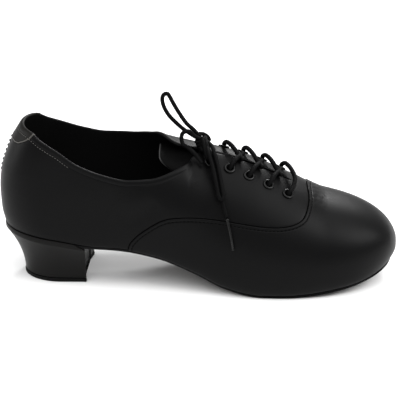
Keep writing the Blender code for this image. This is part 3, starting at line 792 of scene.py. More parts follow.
# Levels at which the shell's faces are split, so that steps, grooves and beads come out crisp
HOLE_RADIUS = EYELET_SHANK / 2 + GAP
CUTS = (
    (HOLE, 0.0, (HOLE_RADIUS,)),
    (SEAM, 0.0, (-0.0006, -0.00025, 0.0, 0.00006, 0.0002, 0.0005, 0.0009)),
    (SEAM, STITCH_FROM_EDGE, (-0.0008, -0.00035, 0.0, 0.00035, 0.0008)),
    (PATCH_IN, 0.0, (-0.0003, 0.0, 0.00006, 0.0002, 0.0005, 0.0008, 0.0011)),
    (EDGE, 0.0, (0.0008, 0.0016, 0.0022, 0.0025, 0.0028, 0.0031, COLLAR_STITCH_AT)),
)


def make_upper(skin, patch_skin, lining, shade, piping_and_painted_highlight):
    points, fields, faces = shell()
    for name, start, levels in CUTS:
        for level in levels:
            points, fields, faces = cut(points, fields, faces, name, start + level)
    seam, patch, edge = fields[:, SEAM], fields[:, PATCH_IN], fields[:, EDGE]
    rise = VAMP_STEP * quarter_round(seam, SHOULDER) * (seam > 0)
    rise -= GROOVE * dip(seam, STITCH_FROM_EDGE, GROOVE_WIDTH)
    rise -= UNDERCUT * dip(seam, UNDERCUT_AT, SHOULDER) * (seam <= 0)
    rise += PATCH_STEP * quarter_round(patch, SHOULDER) * (patch > 0)
    rise -= PIPING * np.clip((patch - 0.0006) / 0.0005, 0, 1) * (patch > 0)
    bead = np.clip(1 - ((edge - BEAD_TOP) / (BEAD_WIDTH - BEAD_TOP)) ** 2, 0, 1) ** 0.5
    bead = np.where(edge < BEAD_TOP, 1.0, np.where(edge < BEAD_WIDTH, bead, 0))
    fade = np.clip((CORNER_ALONG - 0.004 - fields[:, ALONG]) / 0.03, 0, 1)
    rise += BEAD * bead * fade
    rise -= BEAD_GROOVE * dip(edge, BEAD_WIDTH + 0.0003, SHOULDER) * fade
    rise -= EYELET_DIP * np.clip(1 - (fields[:, HOLE] - HOLE_RADIUS) / EYELET_DIP_WIDTH, 0, 1)
    rise = np.where(fields[:, ZONE] < 0.5, rise + swell(points, fields), 0)
    points = points + fields[:, :3] * rise[:, None]
    faces = [face for face in faces if min(fields[list(face), HOLE]) >= HOLE_RADIUS - 1e-6]
    slots = []
    for face in faces:
        mean = fields[list(face)].mean(0)
        # Faces in the recess beside the vamp's and the patch's edges and along the stitch groove get a
        # near-black finish: painted shade in these grooves
        groove = -0.0006 < mean[SEAM] < 0 or abs(mean[SEAM] - STITCH_FROM_EDGE) < GROOVE_WIDTH
        if mean[ZONE] > 0.5:
            slots.append(1)
        elif groove or -0.0003 < mean[PATCH_IN] < 0:
            slots.append(3)
        # A strip inside the patch's edge gets the lighter piping: a lighter binding, partly painted
        # highlight along the edge
        elif 0 < mean[PATCH_IN] < PIPING_AND_HIGHLIGHT_WIDTH:
            slots.append(4)
        else:
            slots.append(2 if mean[PATCH_IN] > 0 else 0)
    upper = mesh_piece("upper_leather", points, faces, [skin, lining, patch_skin, shade, piping_and_painted_highlight], slots)
    return softened(upper), points, fields


# Soft folds on one side, routed in the side view by shares of the length and of the collar's height
FOLDS = listed(
    "side depth width route",
    (LATERAL, -0.0015, 0.0034, ((0.4825, 0.83), (0.4840, 0.78), (0.4860, 0.73), (0.4880, 0.69))),
    (LATERAL, -0.0008, 0.0070, ((0.400, 0.58), (0.360, 0.50), (0.310, 0.44))),
    (LATERAL, 0.0006, 0.0080, ((0.300, 0.62), (0.340, 0.57), (0.400, 0.66))),
    (MEDIAL, -0.0010, 0.0050, ((0.480, 0.78), (0.490, 0.70), (0.500, 0.62))),
    (MEDIAL, -0.0006, 0.0070, ((0.400, 0.60), (0.350, 0.52), (0.300, 0.46))),
)

# Heights of the slow swells of stretched leather, and of the fine wrinkles where the vamp bends
# behind the toes, with the wrinkles' middle and reach as shares of the length
SWELL = 0.00022
SWELL_FINE = 0.00016
WRINKLES_AT = 0.800
WRINKLES_REACH = 0.028
WRINKLE = 0.00009


def swell(points, fields):
    """Slow swells of stretched leather, wrinkles and folds, as a height off the surface."""
    x, y, z = points.T
    wave = np.sin(61 * x + 2.1 * np.sin(43 * z) + 0.7 * np.tanh(y / 0.02))
    rise = SWELL * wave * np.sin(71 * z + 1.3)
    rise += SWELL_FINE * np.sin(113 * x + 47 * z) * np.sin(83 * y + 29 * x)
    rise *= np.clip(fields[:, EDGE] / 0.012, 0, 1)
    bent = np.exp(-(((fields[:, ALONG] - WRINKLES_AT) / WRINKLES_REACH) ** 2))
    wave = np.sin(1350 * x + 5 * np.sin(260 * y) + 3 * np.sin(410 * y + 90 * x))
    wave += np.sin(1020 * y + 4 * np.sin(350 * x) + 420 * x)
    rise += WRINKLE * bent * wave * np.clip((z - 0.056) / 0.012, 0, 1)
    for fold in FOLDS:
        route = smooth_route([(x, 0, z) for x, z in side_view(fold.route, BACK_HEIGHT)], 0.002)
        nearest = np.full(len(points), 9.0)
        share = np.zeros(len(points))
        for k, (px, _, pz) in enumerate(route):
            out = np.hypot(x - px, z - pz)
            share = np.where(out < nearest, k / (len(route) - 1), share)
            nearest = np.minimum(nearest, out)
        strength = np.exp(-((nearest / fold.width) ** 2)) * np.sin(pi * np.clip(share, 0, 1)) ** 0.7
        rise += fold.depth * strength * (fields[:, SIDE] == fold.side)
    return rise


def edge_line(points, fields, name, level, before=1.0):
    """Vertices on one level of a field, up to a place along the shoe, for telling where stitches go."""
    on = (abs(fields[:, name] - level) < 1e-9) & (fields[:, ZONE] < 0.5) & (fields[:, ALONG] < before)
    return points[on], fields[on][:, :3]


def chained(places, normals, furthest=0.004):
    """Loose points put in order as lines, each going on to its nearest unused neighbour."""
    free = np.ones(len(places), bool)
    lines = []
    while free.any():
        at = int(np.where(free, places[:, 0], 9).argmin())
        line = []
        while True:
            line.append(at)
            free[at] = False
            out = np.where(free, np.linalg.norm(places - places[at], axis=1), 9)
            at = int(out.argmin())
            if out[at] > furthest:
                break
        lines.append((places[line], normals[line]))
    return lines


def banded(base, rings, count):
    """Faces between neighbouring rings of this many points, numbered from base."""
    faces = []
    for ring in range(rings - 1):
        for k in range(count):
            a, b = base + ring * count + k, base + ring * count + (k + 1) % count
            faces.append((a, b, b + count, a + count))
    return faces


def tube(base, rings, count):
    """Faces of a tube closed by a flat face at each end."""
    last = base + (rings - 1) * count
    ends = [tuple(range(base + count - 1, base - 1, -1)), tuple(range(last, last + count))]
    return banded(base, rings, count) + ends


def stitches(name, lines, finish, lift, length, pitch, width):
    """Short rounded threads laid along lines, sunk a little at both ends."""
    points, faces = [], []
    for places, normals in lines:
        lengths = lengths_along(places)
        if lengths[-1] < 2 * pitch:
            continue
        for at in np.arange(pitch / 2, lengths[-1], pitch):
            centre = between(places, lengths, [at])[0]
            normal = between(normals, lengths, [at])[0]
            normal /= np.linalg.norm(normal)
            ahead = between(places, lengths, [min(at + 0.0006, lengths[-1])])[0]
            ahead = ahead - between(places, lengths, [max(at - 0.0006, 0)])[0]
            ahead /= np.linalg.norm(ahead)
            across = np.cross(normal, ahead)
            faces += tube(len(points), len(STITCH_SHAPE), STITCH_SIDES)
            for along, wide, sunk in STITCH_SHAPE:
                middle = centre + ahead * along * length + normal * (lift + sunk * width / 2)
                for k in range(STITCH_SIDES):
                    turn = 2 * pi * k / STITCH_SIDES
                    out = across * cos(turn) + normal * sin(turn)
                    points.append(middle + out * wide * width / 2)
    return mesh_piece(name, points, faces, [finish])


def back_stitches(finish):
    """Raised threads across the seam down the middle of the back."""
    routes = []
    for z in np.arange(*BACK_STITCH_HEIGHTS):
        route = []
        for side, share in BACK_STITCH_PLACES:
            points = section(share, side)
            nearest = points[int(abs(points[:, 2] - z).argmin())]
            route.append(nearest - (BACK_STITCH_SUNK, 0, 0))
        routes.append(route)
    points, faces = braid(routes, BACK_STITCH)
    return mesh_piece("back_seam_threads", points, faces, [finish])


def sheet_piece(name, rings, finishes, slots=None):
    """A closed skin over rings of the same number of points, first and last ring capped with rows."""
    points = [point for ring in rings for point in ring]
    count = len(rings[0])
    faces = banded(0, len(rings), count)
    half = count // 2
    for base, turned_over in ((0, True), ((len(rings) - 1) * count, False)):
        for k in range(half - 1):
            quad = (base + k, base + k + 1, base + count - 2 - k, base + count - 1 - k)
            faces.append(quad[::-1] if turned_over else quad)
    made = mesh_piece(name, points, faces, finishes)
    if slots:
        made.data.polygons.foreach_set("material_index", [slots(face, points) for face in faces])
    return softened(made)


# Profiles of the sole and the footbed, as insets from the outline and heights
SOLE_PROFILE = (
    (-0.0012, 0.0), (-0.0004, 0.0001), (0.0, 0.0006), (0.0, 0.0019), (-0.0003, 0.0024),
    (-0.0012, SOLE_THICKNESS),
)
INSOLE_PROFILE = ((0.0006, 0.0), (0.0, 0.0004), (0.0, 0.0014), (0.0008, INSOLE_THICKNESS))

# The sole is tucked in under the upper along the waist, where its edge is covered: the share over
# which the tuck comes in, the place where it has gone, and the share over which it goes
WAIST_TUCK = 0.0012
WAIST_FADE = (0.05, 0.62, 0.16)
WAIST_ENDS = 0.56

# The heel's cover laps up over the sole's edge as a thin lip, which ends before the breast: its wall,
# its ends along the sole and round the heel, and how far its rings and the heel's foot are drawn in
LIP_WALL = 0.0010
LIP_ENDS = (0.190, 0.207)
LIP_FADE = (0.88, 0.10)
LIP_INSET = 0.0009
LIP_ROUND = 0.0004
HEEL_FOOT = 0.0005

# Places round the heel from its back, its levels from seat to base, and the lift's profile
HEEL_SHARES = np.linspace(0, 1, 30) ** 1.9
HEEL_LEVELS = (0.0, 0.03, 0.06, 0.1, 0.16, 0.23, 0.31, 0.4, 0.5, 0.6, 0.7, 0.8, 0.9, 0.97, 0.99)
HEEL_BASE_ROUND = (0.40, 2.0, 2.0)
HEEL_COVER = 0.0004
LIFT_PROFILE = (
    (0.0008, 0.0), (0.0001, 0.0004), (0.0, 0.0009), (0.0, 0.0023), (0.0001, 0.0027), (0.0006, TOP_LIFT),
)

# The cover's sides are wrapped round onto the breast: the strip's share of its width, its rise, and
# the places across the breast
WRAP_SHARE = 0.20
WRAP_RISE = 0.0007
FRONT_SHARES = (
    0.02, 0.05, 0.09, 0.13, 0.17, 0.19, 0.197, 0.203, 0.22, 0.26, 0.32, 0.38, 0.44,
    0.50, 0.56, 0.62, 0.68, 0.74, 0.78, 0.797, 0.803, 0.81, 0.83, 0.87, 0.91, 0.95, 0.98,
)


def make_outsole(edge, suede, waist_skin):
    shares = eased(160)
    start, far, reach = WAIST_FADE
    recess = LIP_WALL * (1 - np.clip((shares - LIP_ENDS[0]) / (LIP_ENDS[1] - LIP_ENDS[0]), 0, 1))
    waist = np.clip((shares - LIP_ENDS[0]) / start, 0, 1) * np.clip((far - shares) / reach, 0, 1)
    recess = recess + WAIST_TUCK * waist
    rings = []
    for inset, lift in SOLE_PROFILE:
        ring = []
        for side, order in ((LATERAL, 1), (MEDIAL, -1)):
            for s, back in zip(shares[::order], recess[::order]):
                ring.append(sole_point(s, side, sole_bottom(s) + lift, SOLE_MARGIN + inset - back))
        rings.append(ring)

    def slot(face, points):
        if max(face) < 2 * len(rings[0]):
            return 1
        return 2 if points[face[0]][0] < LENGTH * WAIST_ENDS - HEEL_CENTRE else 0

    return sheet_piece("sole", rings, [edge, suede, waist_skin], slot)


def make_insole(finish):
    rings = []
    shares = eased(122)[1:-1]
    shrink = 1 - 2 * INSOLE_INSET / LENGTH
    for inset, lift in INSOLE_PROFILE:
        ring = []
        for side, order in ((LATERAL, shares), (MEDIAL, shares[::-1])):
            for place in order:
                inner = 0.5 + (place - 0.5) * shrink
                height = float(sole_bottom(inner)) + SOLE_THICKNESS + GAP + lift
                x, _, z = sole_point(inner, side, height)
                half = float(half_width(place, side)) * FEATHER_SHARE - INSOLE_INSET - inset
                ring.append((x, side * max(0.0005, half), z))
        rings.append(ring)
    return sheet_piece("sock", rings, [finish])


def heel_ring(down, outset=0.0, height=None):
    """Outline of the heel at one level, from its seat at 0 to its base at 1, as part of its solid."""
    blend = 1 - (1 - down) ** HEEL_FLARE
    breast = HEEL_LENGTH / LENGTH
    base = TOP_LIFT + GAP
    pairs = []
    for share in HEEL_SHARES:
        pair = []
        for side in (LATERAL, MEDIAL):
            seat = sole_point(share * breast, side, 0, SOLE_MARGIN)
            under = share * (breast + BREAST_TURN * seat[1] / LENGTH)
            seat_z = float(sole_bottom(under)) - SEAT_GAP
            length = HEEL_LENGTH - HEEL_BASE_BACK
            half = HEEL_BASE_WIDTH / 2 * float(closing(1 - share, *HEEL_BASE_ROUND)) + HEEL_COVER
            base_x = HEEL_BASE_BACK - HEEL_CENTRE + length * share
            x = seat[0] + (base_x - seat[0]) * blend
            y = seat[1] + (side * half - seat[1]) * blend
            z = seat_z + (base - seat_z) * down
            pair.append((x + BREAST_TURN * y * share + outset * (2 * share - 1), y + side * outset, z))
        pairs.append(pair)
    lateral, medial = pairs[-1]
    front = []
    for share in FRONT_SHARES:
        hollow = BREAST_HOLLOW * (1 - (2 * share - 1) ** 2)
        if min(share, 1 - share) < WRAP_SHARE:
            hollow -= WRAP_RISE
        x = lateral[0] + (medial[0] - lateral[0]) * share - hollow
        y = lateral[1] + (medial[1] - lateral[1]) * share
        z = lateral[2]
        if down < 1:
            seat_z = float(sole_bottom(breast + (x - lateral[0]) / LENGTH)) - SEAT_GAP
            z = seat_z + (base - seat_z) * down
        front.append((x, y, z))
    ring = [pair[0] for pair in pairs] + front + [pair[1] for pair in pairs[::-1]]
    if height is not None:
        ring = [(x, y, height) for x, y, _ in ring]
    return ring


def inset_ring(ring, inset):
    """The ring drawn in by this much, square to its own line."""
    ring = np.array(ring)
    ahead = np.roll(ring, -1, 0) - np.roll(ring, 1, 0)
    out = np.stack([ahead[:, 1], -ahead[:, 0]], 1)
    out /= np.maximum(np.linalg.norm(out, axis=1, keepdims=True), 1e-9)
    ring[:, :2] -= out * inset
    return [tuple(p) for p in ring]


def filled(name, rings, finishes):
    """A closed skin over rings, capped by one flat face at each end."""
    points = [point for ring in rings for point in ring]
    count = len(rings[0])
    faces = [(a, d, c, b) for a, b, c, d in banded(0, len(rings), count)]
    faces.append(tuple(range(count)))
    faces.append(tuple(range(len(points) - 1, len(points) - count - 1, -1)))
    return softened(mesh_piece(name, points, faces, finishes))


def lipped(ring, lift):
    """The ring raised by the lip's height, fading out towards the breast."""
    up = 1 - np.clip((HEEL_SHARES - LIP_FADE[0]) / LIP_FADE[1], 0, 1)
    ups = np.concatenate([up, np.zeros(len(ring) - 2 * len(up)), up[::-1]])
    return [(x, y, z + lift * share) for (x, y, z), share in zip(ring, ups)]


def make_heel(finish):
    seat = heel_ring(0.0)
    lip = SEAT_GAP + SOLE_THICKNESS
    rings = [
        inset_ring(seat, LIP_INSET),
        inset_ring(lipped(seat, lip), LIP_INSET),
        inset_ring(lipped(seat, lip + 0.0001), LIP_ROUND),
        lipped(seat, lip - 0.0003),
    ]
    rings += [heel_ring(down) for down in HEEL_LEVELS]
    rings.append(inset_ring(heel_ring(1.0), HEEL_FOOT))
    return filled("heel_block", rings, [finish])


def make_top_lift(finish):
    rings = [inset_ring(heel_ring(1.0, GAP, height), inset) for inset, height in LIFT_PROFILE]
    return filled("top_lift", rings[::-1], [finish])


# The tongue's free end hangs below the line of the facings: how far, over which share, how far its
# corners are cut back, its rolled rim, the lighter piping on it (partly a painted highlight along the
# edge), and the width of a column near the rim
TONGUE_SINK = 0.0042
TONGUE_SINK_SHARE = 0.42
TONGUE_CORNER = 0.042
TONGUE_ROLL = 0.0016
TONGUE_PIPING_AND_HIGHLIGHT = 0.0004
TONGUE_COLUMN = 0.0012


def make_tongue(skin, lining, piping_and_painted_highlight):
    """The tongue with its corners rounded and its rim rolled."""
    rows, across = 60, 40
    grid = np.empty((rows + 1, across + 1, 3))
    shares = np.linspace(0, 1, rows + 1) ** 1.25
    for row, share in enumerate(shares):
        half = TONGUE_HALF_TOP + (TONGUE_HALF_FOOT - TONGUE_HALF_TOP) * share
        for step in range(across + 1):
            wide = 2 * step / across - 1
            corner = TONGUE_CORNER * (max(0, abs(wide) - 0.45) / 0.55) ** 2.4 * max(0, 1 - share * 5)
            place = TONGUE_TOP + corner + (TONGUE_FOOT - TONGUE_TOP) * share
            side = LATERAL if wide < 0 else MEDIAL
            sunk = TONGUE_SINK * max(0, 1 - share / TONGUE_SINK_SHARE) ** 1.5
            grid[row, step], _ = beside_throat(place, side, abs(half * wide), -WALL - TONGUE_GAP - sunk)
    normals = np.cross(np.gradient(grid, axis=0), np.gradient(grid, axis=1))
    normals /= np.linalg.norm(normals, axis=2, keepdims=True)
    normals *= np.sign(normals[..., 2:3].mean())
    from_top = shares[:, None] * LENGTH * (TONGUE_FOOT - TONGUE_TOP)
    steps = np.arange(across + 1)
    rim = np.minimum(from_top, np.minimum(steps, across - steps) * TONGUE_COLUMN)
    thick = TONGUE_THICKNESS * (0.35 + 0.65 * quarter_round(rim, TONGUE_ROLL))
    top = grid - normals * (TONGUE_THICKNESS - thick)[..., None] * 0.5
    low = top - normals * thick[..., None]
    points = np.concatenate([top.reshape(-1, 3), low.reshape(-1, 3)])
    wide = across + 1
    half = wide * (rows + 1)
    faces = []
    for row in range(rows):
        for step in range(across):
            a = row * wide + step
            faces.append((a, a + wide, a + wide + 1, a + 1))
            faces.append((half + a, half + a + 1, half + a + wide + 1, half + a + wide))
    around = list(range(wide)) + [row * wide + across for row in range(1, rows + 1)]
    around += [rows * wide + step for step in range(across - 1, -1, -1)]
    around += [row * wide for row in range(rows - 1, 0, -1)]
    for a, b in zip(around, around[1:] + around[:1]):
        faces.append((a, b, half + b, half + a))
    edge = np.concatenate([rim.reshape(-1)] * 2)
    slots = []
    for face in faces:
        # Faces at the rim get the lighter piping: partly painted highlight along the tongue's edge
        piped_and_highlit = edge[list(face)].min() < TONGUE_PIPING_AND_HIGHLIGHT
        slots.append(1 if min(face) >= half else 2 if piped_and_highlit else 0)
    return mesh_piece("tongue_leather", points, faces, [skin, lining, piping_and_painted_highlight], slots)


def turned(name, profile, point, normal, finish, steps=40):
    """A closed ring turned about a normal from (radius, height) points."""
    upright = normal.to_track_quat("Z", "Y")
    points, faces = [], []
    count = len(profile)
    for k in range(steps):
        turn = 2 * pi * k / steps
        a, b = k * count, (k + 1) % steps * count
        for j, (radius, height) in enumerate(profile):
            i = (j + 1) % count
            points.append(point + upright @ Vector((radius * cos(turn), radius * sin(turn), height)))
            faces.append((a + j, b + j, b + i, a + i))
    return mesh_piece(name, points, faces, [finish])


def make_eyelets(finish):
    bore, rim, shank = EYELET_BORE / 2, EYELET_OUTER / 2, EYELET_SHANK / 2
    profile = [(shank, -WALL), (bore, -WALL), (bore, 0.0004)]
    middle = (bore + rim) / 2
    for step in range(1, 12):
        turn = pi * step / 12
        profile.append((middle - (rim - bore) / 2 * cos(turn), 0.0003 + EYELET_RIM * sin(turn) ** 0.8))
    profile += [(rim, 0.0001), (rim - 0.0004, -0.0001), (shank, -0.0001)]
    for pair, side, point, normal in eyelet_places():
        place = f"{WORDS[side]}_{pair}"
        ring = turned(f"ring_{place}", profile, point, normal, finish)
        finished(ring, "black_metal", f"eyelet_{place}")


def finished(piece, slot, *nodes):
    """Puts a piece on the part's one body and hides the solids it stands for; the slot is not used."""
    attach(piece, "root")
    if nodes:
        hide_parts(*nodes)
    return piece


def framed(line):
    """Each place of a line, with two directions square to it that don't turn about it."""
    ahead = np.gradient(line, axis=0)
    ahead /= np.linalg.norm(ahead, axis=1, keepdims=True)
    out = np.cross(ahead[0], (0.3, 0.2, 0.9))
    for place, way in zip(line, ahead):
        out = out - way * out.dot(way)
        out /= np.linalg.norm(out)
        yield place, out, np.cross(way, out)


# Braid: strands, the length of one turn, sides of the cord, how deep it is and how its ends round off
STRANDS = 8
LAY = 0.0042
CORD_SIDES = 20
BRAID_DEPTH = 0.10
END_RINGS = 2.4


def braid(routes, diameter):
    """Points and faces of round braided cord along one or more smooth routes."""
    points, faces = [], []
    for route in routes:
        line = smooth_route(route, diameter / 8)
        faces += tube(len(points), len(line), CORD_SIDES)
        for k, (place, out, across) in enumerate(framed(line)):
            run = k * diameter / 8 / LAY * STRANDS / 2
            end = min(1, (min(k, len(line) - 1 - k) + 0.4) / END_RINGS) ** 0.5
            for s in range(CORD_SIDES):
                turn = s / CORD_SIDES
                a = STRANDS / 2 * turn + run
                b = STRANDS / 2 * turn - run
                over = (int(np.floor(a)) + int(np.floor(b))) % 2
                crest = sin(pi * ((a if over else b) % 1))
                radius = diameter / 2 * (1 - BRAID_DEPTH + BRAID_DEPTH * crest) * end
                angle = 2 * pi * turn
                points.append(place + (out * cos(angle) + across * sin(angle)) * radius)
    return points, faces


def cord_piece(name, routes, diameter, finish, node_name):
    """One braided piece along one or more routes, in place of one solid of the lace."""
    points, faces = braid(routes, diameter)
    return finished(mesh_piece(name, points, faces, [finish]), "black_braid", node_name)


# Drawn tight, the lace spreads wider in the rows than in the bow
ROW_LACE = 0.0035

# Cords start deep in their eyelet and come up at its rim, a little past its middle
DEEP = -0.0022
RIM = 0.0006
PAST_MIDDLE = 1.02
ROW_REST = GAP + EYELET_RIM + LACE_LIFT + ROW_LACE / 2
ROW_FLAT = LACE_LIFT + ROW_LACE / 2
REST = GAP + EYELET_RIM + LACE_LIFT + LACE / 2

# A strand of a crossing, from its eyelet to the slit: share of the way, height off the facing, share
# of the strand's own peak, and how far ahead of the eyelet it runs on the near and on the far side
NEAR_PEAK = 0.0009
STRAND = listed(
    "reach height peak near far",
    (-0.02, DEEP, 0, 0.0, -MEDIAL_BACK),
    (-0.02, RIM, 0, 0.0, -MEDIAL_BACK),
    (0.10, ROW_REST - 0.0002, 0, 0.0024, -0.0145),
    (0.36, ROW_REST, 1, 0.0084, -0.0090),
    (0.68, ROW_FLAT, 1.5, 0.0164, 0.0045),
    (1.00, ROW_FLAT, 0.3, 0.0240, 0.0200),
)

# The bar across the lowest pair: side, distance as a share of the eyelets', height, and how far ahead
BAR = listed(
    "side reach height ahead",
    (LATERAL, PAST_MIDDLE, DEEP, 0.0),
    (LATERAL, PAST_MIDDLE, RIM, 0.0),
    (LATERAL, 0.95, REST, 0.002),
    (LATERAL, 0.7, REST + 0.0010, 0.009),
    (LATERAL, 0.25, REST + 0.0026, 0.011),
    (MEDIAL, 0.25, REST + 0.0030, 0.001),
    (MEDIAL, 0.7, REST + 0.0022, -0.009),
    (MEDIAL, 0.95, REST, -MEDIAL_BACK),
    (MEDIAL, PAST_MIDDLE, RIM, -MEDIAL_BACK),
    (MEDIAL, PAST_MIDDLE, DEEP, -MEDIAL_BACK),
)


def strand(pair, side, peak):
    """Route of one strand, from down in its eyelet over the facing and into the slit."""
    along, distance = pair_place(pair, side)
    pitch = (EYELET_LAST - EYELET_FIRST) / (EYELET_PAIRS - 1)
    route = []
    for row in STRAND:
        place = along + (row.near if side == LATERAL else row.far)
        height = row.height + row.peak * peak
        route.append(beside_throat(place, side, distance * (1 - row.reach), height)[0])
    route.append(beside_throat(along + 0.66 * pitch, -side, distance * 0.32, ROW_REST)[0])
    return route


def make_lacing(finish):
    for pair in range(2, EYELET_PAIRS):
        routes = [strand(pair, LATERAL, NEAR_PEAK), strand(pair, MEDIAL, ARCH)]
        cord_piece(f"lace_row_{pair}", routes, ROW_LACE, finish, f"lace_crossing_{pair}")
    near, far = EYELET_FROM_THROAT
    bar = [beside_throat(EYELET_LAST + r.ahead, r.side, far * r.reach, r.height)[0] for r in BAR]
    cord_piece("lace_bottom_bar", [bar], ROW_LACE, finish, "lace_bar")
    low = REST + GAP
    for side, start, first in (
        (LATERAL, PAST_MIDDLE, EYELET_FIRST),
        (MEDIAL, PAST_MIDDLE + MEDIAL_FURTHER / near, EYELET_FIRST - MEDIAL_BACK),
    ):
        lead = []
        for reach, height in ((start, DEEP), (start, RIM), (start - 0.12, low), (LEAD_START[side], low)):
            lead.append(beside_throat(first, side, near * reach, height)[0])
        middle = (first + CORNER_ALONG) / 2
        lead.append(beside_throat(middle, side, near * LEAD_MIDDLE, low + LEAD_RISE)[0])
        lead.append(KNOT_PLACE)
        cord_piece(f"lead_{WORDS[side]}", [lead], LACE, finish, f"lace_lead_{WORDS[side]}")


# Coils of the knot: start and rise along its axis, turns, turn at the start, and radius
KNOT_COILS = (
    (0.0030, -0.0036, 1.8, 0.4, 0.0034),
    (-0.0022, -0.0030, 1.5, 2.4, 0.0032),
    (0.0052, -0.0115, 0.35, 0.2, 0.0015),
    (0.0052, -0.0115, 0.35, 3.3, 0.0015),
)
KNOT_WAVE = 0.0011
TIP_SIDES = 16


def make_bow(finish):
    for name, node_name, route, far_end in (
        ("bow_loop_up", "lace_loop_up", LOOP_UP, "object"),
        ("bow_loop_down", "lace_loop_down", LOOP_DOWN, "object"),
        ("bow_end_short", "lace_end_short", END_SHORT, "bare"),
        ("bow_end_long", "lace_end_long", END_LONG, "bare"),
    ):
        route = [tuple(p) for p in smooth_route(route, 0.001)]
        piece = cord_piece(name, [route], LACE, finish, node_name)
        line = smooth_route(route, LACE / 8)
        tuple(route[0])
        float(lengths_along(line)[-1])


def make_tip(finish):
    """The film round the long end: wider at its mouth and at its rolled foot."""
    line = smooth_route(TIP_ROUTE, 0.0008)
    points = []
    for k, (place, out, across) in enumerate(framed(line)):
        share = k / (len(line) - 1)
        radius = TIP / 2 * (0.92 - 0.22 * share + 0.25 * (share > 0.97) + 0.2 * (share < 0.05))
        for s in range(TIP_SIDES):
            turn = 2 * pi * s / TIP_SIDES
            points.append(place + (out * cos(turn) + across * sin(turn)) * radius)
    faces = tube(0, len(line), TIP_SIDES)
    finished(mesh_piece("aglet", points, faces, [finish]), "clear_tip", "lace_tip")


def make_knot(finish):
    axis = Vector(KNOT_AXIS).normalized()
    across = axis.cross(Vector((0, 0, 1))).normalized()
    third = axis.cross(across)
    centre = Vector(KNOT_PLACE)
    routes = []
    for start, rise, turns, lean, wide in KNOT_COILS:
        route = []
        for k in range(24):
            share = k / 23
            turn = 2 * pi * turns * share + lean
            along = start + rise * share + KNOT_WAVE * cos(turn)
            place = centre + axis * along + across * wide * cos(turn) + third * wide * sin(turn)
            route.append(tuple(place))
        routes.append(route)
    routes += [KNOT_TAIL, KNOT_TAIL_OVER, KNOT_ARC]
    cord_piece("bow_knot", routes, LACE, finish, "lace_knot")


# White paper under and behind the shoe, an even white sky, and soft boxes: place, aim, size, power
PAPER_REACH = 3.0
PAPER = (0.92, 0.92, 0.92)
SKY_POWER = 0.54
LAMPS = (
    ("overhead", (0.20, -0.50, 1.65), (0.1, 0.0, 0.0), (3.0, 2.0), 41),
    ("behind", (0.56, 1.30, 0.98), (0.2, 0.0, 0.06), (0.45, 0.35), 14),
    ("right", (1.40, -0.35, 1.10), (0.2, 0.0, 0.05), (0.9, 0.7), 15),
    ("left", (-1.6, 0.1, 0.5), (0.0, 0.0, 0.06), (0.5, 1.0), 7),
)


def stage_and_camera():
    corners = [(x * PAPER_REACH, y * PAPER_REACH, 0) for x, y in ((-1, -1), (1, -1), (1, 1), (-1, 1))]
    floor = mesh_piece("floor", corners, [(0, 1, 2, 3)], [material("paper_white", PAPER, 0.9)])
    scene = bpy.context.scene
    scene.view_settings.view_transform = "Standard"
    scene.world = bpy.data.worlds.new("studio")
    scene.world.use_nodes = True
    sky = scene.world.node_tree.nodes["Background"]
    sky.inputs["Color"].default_value = (1, 1, 1, 1)
    sky.inputs["Strength"].default_value = SKY_POWER
    for name, place, aim, size, power in LAMPS:
        lamp = bpy.data.lights.new(name, "AREA")
        lamp.shape = "RECTANGLE"
        lamp.size, lamp.size_y = size
        lamp.energy = power
        made = linked(name, lamp)
        made.location = place
        made.rotation_euler = (Vector(aim) - Vector(place)).to_track_quat("-Z", "Y").to_euler()
    camera = bpy.data.cameras.new("camera")
    camera.lens = CAMERA_LENS
    camera.sensor_width = 36
    camera.shift_x, camera.shift_y = CAMERA_SHIFT
    camera.clip_start = 0.05
    made = linked("camera", camera)
    turn, tilt = np.radians(CAMERA_TURN), np.radians(CAMERA_TILT)
    way = Vector((-sin(turn) * cos(tilt), cos(turn) * cos(tilt), -sin(tilt)))
    made.location = Vector(CAMERA_AIM) - way * CAMERA_DISTANCE
    made.rotation_euler = way.to_track_quat("-Z", "Y").to_euler()
    scene.camera = made


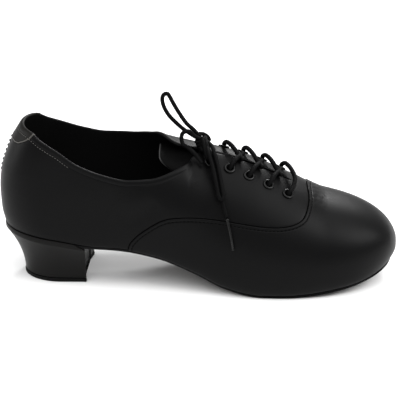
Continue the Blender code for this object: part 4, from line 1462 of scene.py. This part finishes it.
def main():
    skin = grain(material("smooth_leather", (0.0014, 0.0014, 0.0015), 0.42, 0.085), 900, 0.10)
    patch_skin = grain(material("patch_leather", (0.0050, 0.0046, 0.0038), 0.48, 0.10), 900, 0.12)
    lining = grain(material("lining", (0.0016, 0.0016, 0.0016), 0.75, 0.10), 1400, 0.10)
    cover = grain(material("heel_leather", (0.0026, 0.0024, 0.0022), 0.40, 0.11), 900, 0.10)
    sock = grain(material("sock_leather", (0.0016, 0.0016, 0.0016), 0.70, 0.10), 1200, 0.10)
    edge = grain(material("sole_edge", (0.0010, 0.0010, 0.0010), 0.55, 0.06), 1500, 0.15)
    suede = grain(material("suede", (0.030, 0.026, 0.022), 0.95, 0.2), 2500, 0.6)
    rubber = grain(material("lift_rubber", (0.0014, 0.0014, 0.0014), 0.60, 0.10), 1500, 0.2)
    enamel = material("enamel", (0.0012, 0.0012, 0.0012), 0.22, 0.18)
    braided = grain(material("braided_cord", (0.0012, 0.0012, 0.0013), 0.60, 0.06), 5000, 0.3)
    thread = material("thread", (0.0020, 0.0020, 0.0020), 0.55, 0.10)
    light_thread = material("light_thread", (0.075, 0.072, 0.066), 0.45, 0.4)
    # Lighter piping round the patch: a lighter binding, partly painted highlight along its edge
    piping_and_painted_highlight = grain(material("piping_and_painted_highlight", (0.045, 0.042, 0.036), 0.45, 0.4), 1500, 0.1)
    # The tongue's leather is darker than the upper's: painted shade of the throat, where the facings and
    # the bow shade it
    tongue_skin = grain(material("tongue_leather", (0.0010, 0.0010, 0.0010), 0.55, 0.035), 900, 0.10)
    # Lighter rim of the tongue: a lighter binding, partly painted highlight along its edge
    rim = grain(material("tongue_rim", (0.020, 0.020, 0.020), 0.35, 0.5), 1500, 0.1)
    # Near-black finish for the recesses and grooves of the seams: painted shade
    shade = material("painted_groove_shade", (0.0004, 0.0004, 0.0004), 0.90, 0.02)
    tip = material("tip_film", (0.003, 0.003, 0.003), 0.25, 0.25)

    upper, points, fields = make_upper(skin, patch_skin, lining, shade, piping_and_painted_highlight)
    finished(upper, "black_leather", "upper")
    places, normals = edge_line(points, fields, SEAM, STITCH_FROM_EDGE)
    threads = stitches("seam_stitches", chained(places, normals), thread, **SEAM_STITCH)
    finished(threads, "black_leather")
    places, normals = edge_line(points, fields, EDGE, COLLAR_STITCH_AT, COLLAR_STITCH_ENDS)
    threads = stitches("collar_stitches", chained(places, normals), light_thread, **COLLAR_STITCH)
    finished(threads, "black_leather")
    finished(back_stitches(skin), "black_leather")
    finished(make_outsole(edge, suede, skin), "sole_leather", "outsole")
    finished(make_insole(sock), "black_lining", "insole")
    finished(make_heel(cover), "heel_cover", "heel")
    finished(make_top_lift(rubber), "black_rubber", "heel_top_lift")
    finished(make_tongue(tongue_skin, lining, rim), "black_leather", "tongue")
    make_eyelets(enamel)
    make_lacing(braided)
    make_bow(braided)
    make_tip(tip)
    make_knot(braided)
    stage_and_camera()


main()
